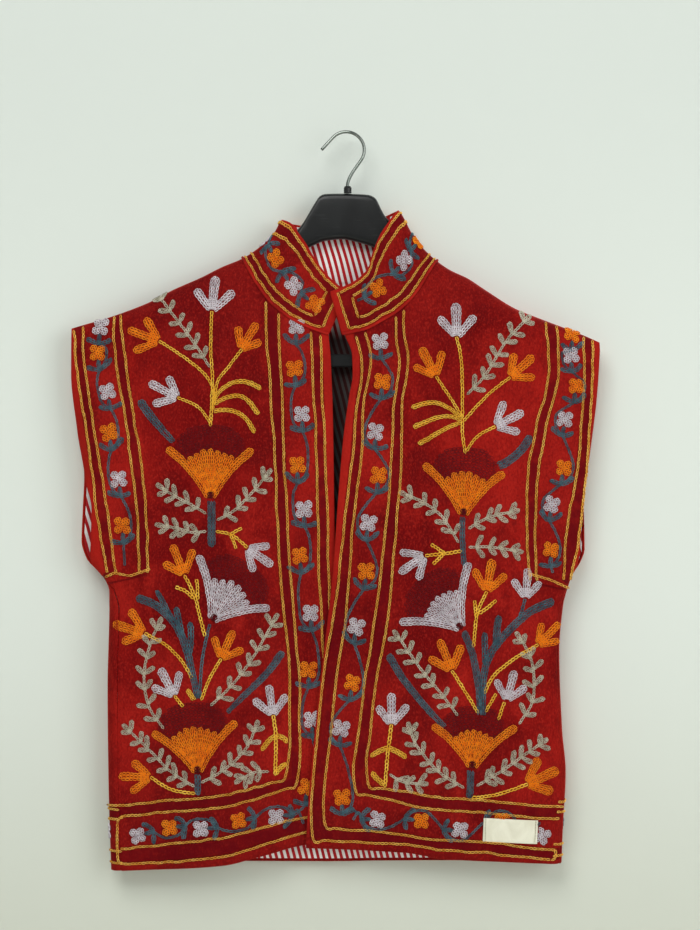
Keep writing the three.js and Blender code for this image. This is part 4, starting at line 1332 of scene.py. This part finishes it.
def sew_front_left():
    s = Sampler()
    gold_lines(s, FRONT_LEFT, NECK_LEFT, (-240, -241, -241, -255))
    hem_closing(s, FRONT_LEFT, -244, "a", "c", -5)
    gold_armhole(s, LEFT, ((-257, -480), (-246, -475), (-230, -477), (-209, -471)))
    s.vine((
        (-51, -210), (-53, -255), (-45, -304), (-50, -359), (-43, -406), (-47, -456), (-36, -518),
        (-38, -579), (-34, -633), (-40, -706),
    ), tail=((-44, -728), (-56, -738)))
    s.vine((
        (-262, -210), (-265, -238), (-254, -280), (-252, -324), (-242, -374), (-238, -424),
    ), side_of=10, tail=((-236, -452), (-235, -466)))
    s.vine((
        (-222, -758), (-188, -749), (-154, -750), (-113, -741), (-73, -737),
    ), first=-1, size=20, side_of=11, tail=((-50, -730), (-44, -745)))
    s.stem(((-183, -334), (-203, -312), (-219, -290)), 9.8, foot=6.5)
    s.fan("orange", (-143, -394), 90, half=41, arms=(70, 68), reach=53)
    s.stalk(((-143, -317), (-142, -295), (-141, -266), (-143, -235), (-142, -194)), 4.2)
    s.stalk(((-141, -300), (-140, -279), (-150, -261), (-172, -243), (-198, -226)), 4)
    s.stalk(((-139, -294), (-136, -270), (-125, -255), (-110, -235)), 4)
    s.stalk(((-143, -314), (-152, -301), (-162, -293), (-178, -287)), 4)
    s.blades(
        ((-139, -288), (-127, -274), (-108, -269), (-89, -277)),
        ((-138, -293), (-122, -285), (-106, -287), (-92, -304)),
        ((-139, -301), (-122, -300), (-106, -308), (-96, -324)),
    )
    s.tulip("lilac", (-142, -194), 84, size=39)
    s.tulip("orange", (-198, -226), 160, size=37)
    s.tulip("orange", (-111, -235), 58, size=34)
    s.tulip("lilac", (-178, -287), 152, size=36)
    s.fern(((-144, -254), (-158, -232), (-177, -206), (-198, -179)), pairs=6)
    s.stem(((-142, -398), (-142, -420), (-142, -446)), 9)
    s.fern(((-148, -411), (-163, -402), (-180, -393), (-194, -384)), pairs=4)
    s.fern(((-148, -430), (-163, -431), (-178, -427), (-194, -424)), pairs=4)
    s.fern(((-136, -418), (-118, -408), (-100, -390), (-83, -370)), pairs=5)
    s.stalk(((-137, -430), (-120, -434), (-104, -447)), 4)
    s.stalk(((-122, -433), (-110, -427)), 4)
    s.stalk(((-121, -434), (-116, -448)), 4)
    s.tulip("lilac", (-104, -448), -34, size=34)
    s.stalk(((-171, -477), (-160, -500), (-154, -524), (-149, -542)), 4.6)
    s.bud(((-161, -502), (-170, -494), (-180, -490)), 5)
    s.bud(((-157, -503), (-157, -492), (-158, -482)), 5)
    s.tulip("orange", (-171, -477), 112, size=36)
    s.fan("lilac", (-141, -525), 57, half=45, arms=(70, 62), reach=47, scallops=6)
    s.stem(((-155, -609), (-152, -568), (-144, -530)), 4.4)
    s.stem(((-157, -609), (-164, -577), (-174, -542), (-194, -515), (-222, -501)), 9.5, foot=7)
    s.stem(((-184, -526), (-192, -510), (-201, -494)), 6)
    s.stem(((-174, -542), (-177, -528), (-180, -512)), 7.5)
    s.stem(((-166, -560), (-164, -545), (-165, -528)), 7.5)
    s.on_stalk("orange", ((-163, -588), (-172, -572), (-190, -553), (-214, -540)), 4.4, 163, size=37)
    s.tulip("lilac", (-182, -607), 118, size=34)
    s.bud(((-182, -607), (-173, -618)), 4.6)
    s.bud(((-161, -611), (-168, -600)), 6)
    s.on_stalk("orange", ((-153, -611), (-145, -590), (-132, -567)), 4.4, 66, size=34)
    s.fern(((-194, -642), (-210, -618), (-215, -586), (-209, -554), (-199, -530)), pairs=7)
    s.fern(((-143, -617), (-121, -596), (-98, -566), (-75, -526)), pairs=7)
    s.stem(((-125, -624), (-102, -601), (-84, -584), (-66, -560)), 8.6, foot=5)
    s.fan("orange", (-157, -689), 96, half=43, arms=(64, 68), reach=50)
    s.stem(((-157, -692), (-157, -702), (-157, -713)), 7.5)
    s.fern(((-161, -704), (-187, -688), (-210, -665), (-232, -644)), pairs=7)
    s.fern(((-153, -700), (-126, -684), (-105, -663), (-95, -641)), pairs=6)
    s.fern(((-81, -688), (-96, -689), (-110, -696)), pairs=3)
    s.on_stalk("orange", ((-160, -712), (-186, -708), (-208, -695)), 4.4, 178, size=35)
    s.on_stalk("lilac", ((-74, -692), (-73, -653), (-76, -628)), 4.8, 98, size=34)
    s.bud(((-74, -650), (-80, -654), (-88, -665)), 6)
    s.bud(((-73, -650), (-66, -651), (-61, -657)), 6)
    s.bud(((-74, -690), (-68, -684), (-62, -680)), 6.5)
    return s


def sew_front_right():
    s = Sampler()
    gold_lines(s, FRONT_RIGHT, NECK_RIGHT, (222, 226, 231, 236))
    hem_closing(s, FRONT_RIGHT, 227, "a", "b", 4)
    gold_armhole(s, RIGHT, ((244, -492), (232, -487), (219, -482), (199, -476)))
    s.vine((
        (39, -226), (41, -269), (34, -323), (37, -370), (26, -421), (24, -473), (13, -532),
        (9, -593), (-3, -642), (-2, -716),
    ), tail=((6, -728), (16, -734)))
    s.vine((
        (246, -218), (244, -241), (249, -274), (237, -310), (236, -362), (223, -401), (222, -450),
    ), yarns=("orange", "lilac"), first=-1, size=20, side_of=10, tail=((222, -468), (224, -474)))
    s.vine((
        (213, -758), (170, -742), (125, -752), (83, -741), (36, -740),
    ), first=-1, size=20, side_of=11, tail=((16, -732), (10, -740)))
    s.stem(((166, -360), (186, -348), (200, -328)), 9.5)
    s.fan("orange", (128, -412), 87, half=41, arms=(68, 62), reach=47, scallops=6)
    s.stalk(((130, -346), (127, -325), (127, -287), (126, -247), (121, -222)), 4.2)
    s.stalk(((127, -308), (116, -290), (99, -264)), 4)
    s.stalk(((128, -312), (135, -304), (155, -283), (178, -265)), 4)
    s.stalk(((131, -344), (143, -328), (162, -318)), 4)
    s.blades(
        ((124, -307), (108, -295), (92, -292), (73, -297)),
        ((124, -310), (109, -306), (92, -311), (75, -318)),
        ((126, -313), (108, -320), (92, -330), (80, -336)),
    )
    s.tulip("lilac", (121, -222), 91, size=38)
    s.tulip("orange", (99, -264), 118, size=36)
    s.tulip("orange", (178, -265), 42, size=35)
    s.tulip("lilac", (162, -318), 28, size=35)
    s.fern(((132, -283), (152, -262), (174, -226), (195, -204)), pairs=7)
    s.stem(((127, -415), (127, -440), (129, -466)), 6.5)
    s.fern(((123, -442), (105, -414), (85, -399), (67, -391)), pairs=5)
    s.fern(((134, -427), (155, -415), (180, -409)), pairs=4)
    s.fern(((134, -447), (158, -447), (184, -451)), pairs=4)
    s.stalk(((126, -451), (108, -454), (88, -456)), 4.6)
    s.bud(((108, -454), (101, -449), (94, -444)), 5)
    s.bud(((106, -455), (101, -460), (96, -465)), 5)
    s.tulip("lilac", (87, -456), 214, size=34)
    s.stalk(((139, -554), (142, -522), (146, -509), (153, -495)), 4.4)
    s.bud(((142, -522), (141, -514), (140, -505)), 5)
    s.bud(((145, -518), (155, -511), (163, -504)), 5)
    s.tulip("orange", (153, -495), 80, size=36)
    s.tulip("lilac", (195, -502), 86, size=33)
    s.stem(((188, -524), (192, -512), (194, -503)), 4.6)
    s.fan("lilac", (126, -534), 129, half=45, arms=(66, 70), reach=44, scallops=7)
    s.stem(((147, -627), (142, -577), (129, -538)), 8, foot=8)
    s.stem(((149, -627), (151, -577), (165, -551), (193, -521), (225, -505)), 9.5, foot=7)
    s.stem(((163, -552), (164, -537), (166, -521)), 8)
    s.stem(((152, -572), (151, -555), (151, -539)), 7.5)
    s.stalk(((151, -604), (160, -586), (181, -568), (208, -552)), 4.6)
    s.tulip("orange", (208, -552), 44, size=34, spread=34)
    s.tulip("lilac", (175, -612), 76, size=34)
    s.bud(((166, -632), (172, -614)), 4.6)
    s.bud(((152, -624), (163, -605)), 4.6)
    s.on_stalk("orange", ((144, -625), (133, -607), (116, -580)), 4.4, 112, size=37)
    s.fern(((188, -637), (202, -614), (204, -586), (199, -562), (189, -545)), pairs=6)
    s.fern(((122, -628), (104, -604), (82, -577), (58, -543)), pairs=7)
    s.stem(((108, -640), (90, -621), (66, -592), (48, -563)), 8.6, foot=6)
    s.fan("orange", (138, -684), 88, half=45, arms=(62, 64), reach=41, scallops=7)
    s.stem(((136, -688), (136, -702), (135, -717)), 8)
    s.fern(((129, -706), (101, -688), (78, -660), (71, -643)), pairs=7)
    s.fern(((143, -704), (169, -688), (193, -671), (212, -658)), pairs=7)
    s.fern(((49, -691), (63, -699), (82, -701)), pairs=3)
    s.stalk(((138, -717), (165, -713), (197, -702)), 4.6)
    s.tulip("orange", (196, -702), 24, size=39)
    s.on_stalk("lilac", ((44, -705), (47, -669), (51, -638)), 4.8, 90, size=35)
    s.bud(((47, -663), (38, -666), (29, -672)), 6)
    s.bud(((48, -663), (58, -667), (67, -673)), 6)
    s.bud(((43, -702), (35, -696), (30, -689)), 6.5)
    return s


def sew_half_of_back():
    s = Sampler()
    s.fan("orange", (104, -408), 84, half=41, arms=(66, 66), reach=50)
    s.stalk(((104, -336), (102, -290), (100, -244)), 4.2)
    s.stalk(((103, -318), (118, -296), (150, -276)), 4)
    s.stalk(((103, -312), (90, -292), (66, -270)), 4)
    s.tulip("lilac", (100, -243), 88, size=38)
    s.tulip("orange", (150, -275), 36, size=35)
    s.tulip("orange", (66, -269), 132, size=34)
    s.fern(((108, -290), (128, -262), (148, -228), (168, -206)), pairs=6)
    s.blades(
        ((101, -322), (84, -316), (66, -320), (50, -332)),
        ((105, -326), (126, -318), (146, -322), (166, -336)),
    )
    s.stem(((104, -411), (104, -440), (106, -470)), 7)
    s.fern(((110, -436), (138, -424), (172, -410)), pairs=5)
    s.fern(((98, -440), (76, -424), (52, -396)), pairs=5)
    s.fan("lilac", (118, -548), 118, half=44, arms=(64, 66), reach=45)
    s.tulip("lilac", (184, -506), 70, size=34)
    s.stem(((134, -634), (132, -590), (120, -551)), 8, foot=7)
    s.stem(((136, -634), (142, -584), (166, -548), (206, -518)), 9, foot=7)
    s.on_stalk("orange", ((140, -612), (156, -590), (184, -572)), 4.4, 34, size=35)
    s.on_stalk("orange", ((132, -628), (112, -606), (90, -592)), 4.4, 138, size=34)
    s.fern(((184, -640), (198, -612), (196, -586)), pairs=5)
    s.fern(((112, -632), (84, -612), (56, -570), (44, -540)), pairs=7)
    s.fan("orange", (128, -690), 88, half=44, arms=(64, 64), reach=44)
    s.stem(((127, -694), (127, -712)), 8)
    s.fern(((120, -706), (92, -690), (70, -656)), pairs=6)
    s.fern(((134, -706), (166, -690), (196, -662)), pairs=6)
    s.on_stalk("lilac", ((42, -706), (44, -672), (48, -640)), 4.8, 92, size=34)
    s.bud(((44, -668), (34, -672), (26, -680)), 6)
    s.bud(((45, -668), (56, -672), (64, -680)), 6)
    s.stem(((150, -352), (170, -338), (186, -316)), 9, foot=6.5)
    s.on_stalk("lilac", ((106, -470), (92, -482), (80, -492)), 4, 222, size=30)
    s.on_stalk("orange", ((130, -716), (162, -714), (188, -705)), 4.4, 22, size=33)
    s.bud(((172, -640), (168, -622), (160, -608)), 5)
    return s


def sew_back():
    """Both halves of the back carry one field, turned round about the middle."""
    s = Sampler()
    xs = np.linspace(-284, 262, 60)
    for name in LINES:
        line = np.stack([xs, BACK.hem(xs) + through(BACK.hem_lines, "x", name)(xs)], -1)
        s.row("border", line, **GOLD_LINE)
    gold_armhole(s, LEFT, ((-257, -480), (-246, -477), (-230, -477), (-209, -474)))
    gold_armhole(s, RIGHT, ((244, -488), (232, -487), (219, -484), (199, -480)))
    s.vine((
        (-262, -212), (-263, -244), (-254, -284), (-250, -327), (-242, -374), (-237, -424),
    ), side_of=10, tail=((-236, -452), (-235, -466)))
    s.vine((
        (246, -222), (248, -260), (240, -302), (236, -348), (226, -396), (221, -444),
    ), first=-1, side_of=10, tail=((221, -462), (223, -474)))
    hem_xs = np.arange(13) * 40.5 - 262
    hem_blossoms = [(x, BACK.hem(x) + 38 + 3 * (-1) ** k) for k, x in enumerate(hem_xs)]
    s.vine(hem_blossoms, first=-1, size=20, side_of=11)
    for side in (-1, 1):
        for colour, rows in sew_half_of_back().rows.items():
            for line, *facts in rows:
                place = line * (side, 1) + (0 if side > 0 else -4, 0)
                s.rows.setdefault(colour, []).append((place, *facts))
    s.stem(((0, -452), (2, -400), (-1, -350)), 8)
    s.fan("orange", (0, -346), 90, half=38, arms=(50, 50), reach=38, scallops=5)
    for side in (1, -1):
        s.fern(((3 * side, -430), (20 * side, -410), (34 * side, -384)), pairs=3)
    s.stem(((0, -672), (1, -632), (0, -596)), 7.5)
    s.fan("lilac", (0, -592), 90, half=40, arms=(54, 56), reach=42, scallops=6)
    for side in (1, -1):
        s.fern(((3 * side, -652), (18 * side, -636), (27 * side, -616)), pairs=3)
    s.on_stalk("orange", ((0, -538), (0, -522), (-1, -508)), 4.4, 91, size=34)
    for side in (1, -1):
        s.bud(((0, -528), (12 * side, -519), (24 * side, -526)), 5.6, foot=3.4)
    s.stalk(((0, -294), (1, -266), (0, -240)), 4.6)
    s.tulip("lilac", (0, -239), 90, size=36)
    return s


def sew_collar():
    s = Sampler()
    length = COLLAR.length
    for low, top, end in list(zip(*COLLAR_LINES.values()))[:2]:
        along = np.linspace(end + 2, length - end - 2, 90)
        height = np.interp(along, COLLAR.along, COLLAR.tall)
        tall = np.interp((end, length - end), COLLAR.along, COLLAR.tall)
        above = np.stack([along, height - top], -1)
        under = np.stack([along, np.full(len(along), low)], -1)
        for side, x in ((0, end), (1, length - end)):
            s.row("border", ((x, low + 1), (x, tall[side] / 2), (x, tall[side] - top - 1)), **GOLD_LINE)
        s.row("border", above, **GOLD_LINE)
        s.row("border", under, **GOLD_LINE)
    s.vine((
        (26, 27), (56, 30.5), (90, 35.5), (124, 35), (156, 31), (188, 32), (219, 29), (250, 32),
        (281, 33), (313, 34), (344, 34), (387, 33),
    ), ("orange", "lilac") * 4 + ("orange", "orange", "lilac", "orange"), size=21.5, side_of=11,
        tail=((length - 26, 32),))
    return s


# ---------------------------------------------------------------- cloth pieces


def coarser(grid):
    """Every second column and row of a grid, with its ends kept."""
    keep = [np.unique(np.r_[0:n:2, n - 1]) for n in grid.shape[:2]]
    return grid[np.ix_(*keep)]


def declare_cloth(node):
    """Hides the CAD node that a new sheet takes the place of."""
    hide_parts(node)


def make_panel(panel, neck):
    halves = panel.grid(neck)
    outer, inner = panel.cloth(halves, 0), panel.cloth(halves, VELVET)
    shell = cloth_piece(f"velvet_{panel.name}", outer, inner, VELVET_PILE, band=panel.bands(halves))
    declare_cloth(panel.name)
    halves = panel.grid(neck, hem_rise=3, edge_in=5)
    skins = [coarser(panel.cloth(halves, below)) for below in (LINING_TOP, CLOTH)]
    lining = cloth_piece(f"cotton_{panel.name}", *skins, STRIPED, bead=0.3)
    declare_cloth(f"lining_{panel.name}")


def make_collar():
    outer, inner = COLLAR.cloth(0), COLLAR.cloth(VELVET)
    shell = cloth_piece("velvet_collar", outer, inner, VELVET_PILE, band=COLLAR.bands())
    declare_cloth("collar")
    skins = [COLLAR.cloth(below, high=0.97, inset=1) for below in (LINING_TOP, CLOTH)]
    lining = cloth_piece("cotton_collar", *skins, STRIPED, bead=0.3)
    declare_cloth("collar_lining")
    seam = COLLAR.spots(COLLAR.seam, COLLAR.top, 0.015 + 0 * COLLAR.run)
    line = spline(COLLAR.points(seam, COLLAR.run, -0.9), 3)
    # The piping's brighter dye is a painted highlight on the collar's rolled foot
    round_bead("piping_collar", line, 1.5, BRIGHT_PIPING, resolution=2)


def label_spot(across, rise):
    ahead, left = turned(LABEL_TURN)
    return np.array(LABEL_AT) + np.multiply.outer(across, ahead) + np.multiply.outer(rise, left)


def under_label(spots):
    ahead, left = turned(LABEL_TURN)
    offset = spots - LABEL_AT
    inside = np.abs(offset @ ahead) < LABEL_SIZE[0] / 2 + 0.6
    return inside & (np.abs(offset @ left) < LABEL_SIZE[1] / 2 + 0.6)


def make_label():
    """A bare woven tape, sewn on at both its ends."""
    across = np.linspace(-0.5, 0.5, 30)[:, None] * LABEL_SIZE[0] + np.zeros(14)
    rise = np.linspace(-0.5, 0.5, 14)[None, :] * LABEL_SIZE[1] + np.zeros((30, 1))
    spots = label_spot(across, rise)
    wave = 0.15 * np.sin(across / 7) * np.cos(rise / 9)
    skins = [FRONT_RIGHT.place(spots, GAP + wave + thick) for thick in (LABEL_THICK, 0)]
    tape = cloth_piece("label_tape", *skins, CREAM_TAPE, bead=0.3)
    declare_cloth("hem_label")
    s = Sampler()
    for side in (-1, 1):
        for k in range(TAPE_STITCHES):
            x, low = side * (LABEL_SIZE[0] / 2 - 2.2), -LABEL_SIZE[1] / 2 + 1.6 + TAPE_SPACING * k
            ends = [label_spot(np.array(x), np.array(low + long)) for long in (0, TAPE_STITCH)]
            s.row("tape", ends, width=1.1, lift=0.75, pitch=2.4)
    sew(FRONT_RIGHT, s, {"tape": LABEL_THREAD}, slot="label")


# ---------------------------------------------------------------- hanger


def cad_copy(node, name, material):
    """A copy of a CAD node's mesh with its corners merged, to be worked on as a new piece."""
    piece = add(name, bpy.data.objects[node].data.copy())
    reshape(
        piece, (bpy.ops.mesh.remove_doubles, {"threshold": 1e-5}),
        (bpy.ops.mesh.tris_convert_to_quads, {}),
    )
    coat(piece, material)
    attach(piece, "root")
    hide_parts(node)
    return piece


def finish_with(piece, kind, **settings):
    """Adds a modifier and applies it."""
    modifier = piece.modifiers.new(kind.lower(), kind)
    for key, value in settings.items():
        setattr(modifier, key, value)
    only(piece)
    bpy.ops.object.modifier_apply(modifier=modifier.name)


# The hook's arc: its middle, its radius and its two ends in degrees; and the wire's thickness
HOOK_AT, HOOK_ARC, HOOK_TURN, WIRE = (2.3, -17.9), 19.6, (137, -35), 3.4
HOOK_TIP, HOOK_STEM = (-24.3, -17.8), ((8.5, -43.5), (4, -54), (4, -64.4))
TIP_BEVEL = 0.9


def make_hook():
    angles = np.radians(np.linspace(*HOOK_TURN, 13))
    arc = np.stack([HOOK_AT[0] + HOOK_ARC * np.cos(angles), HOOK_AT[1] + HOOK_ARC * np.sin(angles)], -1)
    flat = spline([HOOK_TIP, *arc, *HOOK_STEM], 8)
    line = np.stack([flat[:, 0], 0 * flat[:, 0], flat[:, 1]], -1)
    hook = round_bead("hook_wire", line, WIRE / 2, CHROME, resolution=6)
    only(hook)
    bpy.ops.object.mode_set(mode="EDIT")
    bpy.ops.mesh.select_all(action="DESELECT")
    bpy.ops.object.mode_set(mode="OBJECT")
    for face in hook.data.polygons:
        face.select = len(face.vertices) > 4
    bpy.ops.object.mode_set(mode="EDIT")
    bpy.ops.mesh.bevel(offset=TIP_BEVEL * MM, segments=3, affect="EDGES")
    bpy.ops.object.mode_set(mode="OBJECT")
    hook.data.shade_smooth()
    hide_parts("hook")


def make_hanger():
    plate = cad_copy("hanger_body", "hanger_plate", PLASTIC)
    reshape(plate, (bpy.ops.transform.edge_crease, {"value": 0.35}))
    finish_with(plate, "SUBSURF", levels=2, render_levels=2)
    plate.data.shade_smooth()
    coat(bpy.data.objects["hanger_bar"], PLASTIC)
    collet = cad_copy("hanger_ferrule", "hanger_collet", PLASTIC)
    finish_with(collet, "BEVEL", width=0.35 * MM, segments=2, limit_method="ANGLE")
    make_hook()


# ---------------------------------------------------------------- making it all

make_panel(FRONT_LEFT, NECK_LEFT)
make_panel(FRONT_RIGHT, NECK_RIGHT)
make_panel(BACK, NECK_BACK)
make_collar()
sew(FRONT_LEFT, sew_front_left(), YARNS)
sew(FRONT_RIGHT, sew_front_right(), YARNS)
sew(BACK, sew_back(), YARNS)
sew(COLLAR, sew_collar(), YARNS)
make_label()
make_hanger()


# ---------------------------------------------------------------- stage, light and camera


def stage_sheet(name, corners, paint):
    mesh = bpy.data.meshes.new(name)
    mesh.from_pydata(corners, [], [(0, 1, 2, 3)])
    surface = Surface(name, Base_Color=dyed(*paint), Roughness=0.9, Specular_IOR_Level=0.1)
    mesh.materials.append(surface.material)
    add(name, mesh)
    return surface


# The wall stands just behind the jacket; both sheets reach well past what the camera sees
WALL_BEHIND, WALL_TOP, WALL_SIDE = 0.026, 3, 4
FLOOR, FLOOR_SIDE = -1.25, 6
WALL_PAINT = (216, 223, 216)


def make_wall():
    """A painted wall that can be seen from in front only; painted shade darkens it towards the top, and
    darkens and yellows it towards the bottom.
    """
    rows = ((-WALL_SIDE, FLOOR), (WALL_SIDE, FLOOR), (WALL_SIDE, WALL_TOP), (-WALL_SIDE, WALL_TOP))
    s = stage_sheet("wall", [(x, WALL_BEHIND, up) for x, up in rows], WALL_PAINT)
    height = s.axes()["Z"]
    # Painted shade: darker towards the top, and darker and yellower towards the bottom
    paint = s.layered(
        WALL_PAINT, (height, -0.35, 0.15, 1, (207, 214, 208)), (height, -0.45, -1.0, 1, (200, 204, 191))
    )
    s.link(paint, s.skin["Base Color"])
    back = s.put("NewGeometry").outputs["Backfacing"]
    unseen = s.work("MAXIMUM", back, s.put("LightPath").outputs["Is Shadow Ray"])
    shader, clear = s.tree.nodes["Principled BSDF"], s.put("BsdfTransparent")
    inputs = {0: unseen, 1: shader.outputs[0], 2: clear.outputs[0]}
    s.link(s.put("MixShader", inputs).outputs[0], s.tree.nodes["Material Output"].inputs[0])


corners = ((-1, -1), (1, -1), (1, 1), (-1, 1))
stage_sheet("floor", [(FLOOR_SIDE * x, FLOOR_SIDE * y, FLOOR) for x, y in corners], (214, 214, 208))
make_wall()

# Soft square lamps: where each stands, its side in metres, its power and its colour
LAMPS = {
    "window": ((-0.7, -2.5, 1.5), 1.8, 54, (1, 0.99, 0.97)),
    "fill": ((2.0, -2.4, 0.2), 2, 34, (1, 1, 1)),
    "behind": ((0.8, 2.6, 0.8), 2, 85, (1, 1, 1)),
}
AIM, ROOM_LIGHT = Vector((0, 0, -0.4)), 0.42

for name, (spot, size, watts, colour) in LAMPS.items():
    lamp = bpy.data.lights.new(name, "AREA")
    lamp.shape, lamp.size, lamp.size_y = "RECTANGLE", size, size
    lamp.energy, lamp.color = watts, colour
    light = add(name, lamp)
    light.location = spot
    light.rotation_euler = (AIM - Vector(spot)).to_track_quat("-Z", "Y").to_euler()

world = bpy.data.worlds.new("room")
world.use_nodes = True
for key, value in (("Color", dyed(236, 240, 238)), ("Strength", ROOM_LIGHT)):
    world.node_tree.nodes["Background"].inputs[key].default_value = value
bpy.context.scene.world = world
bpy.context.scene.view_settings.view_transform = "Standard"

# The camera looks straight at the wall, on a level with the jacket's chest
EYE, LENS, NEAREST = (0.0065, -2.615, -0.3589), 93.52, 0.05
eye = bpy.data.cameras.new("camera")
eye.lens, eye.clip_start = LENS, NEAREST
camera = add("camera", eye)
camera.location = EYE
camera.rotation_euler = (math.radians(90), 0, 0)
bpy.context.scene.camera = camera
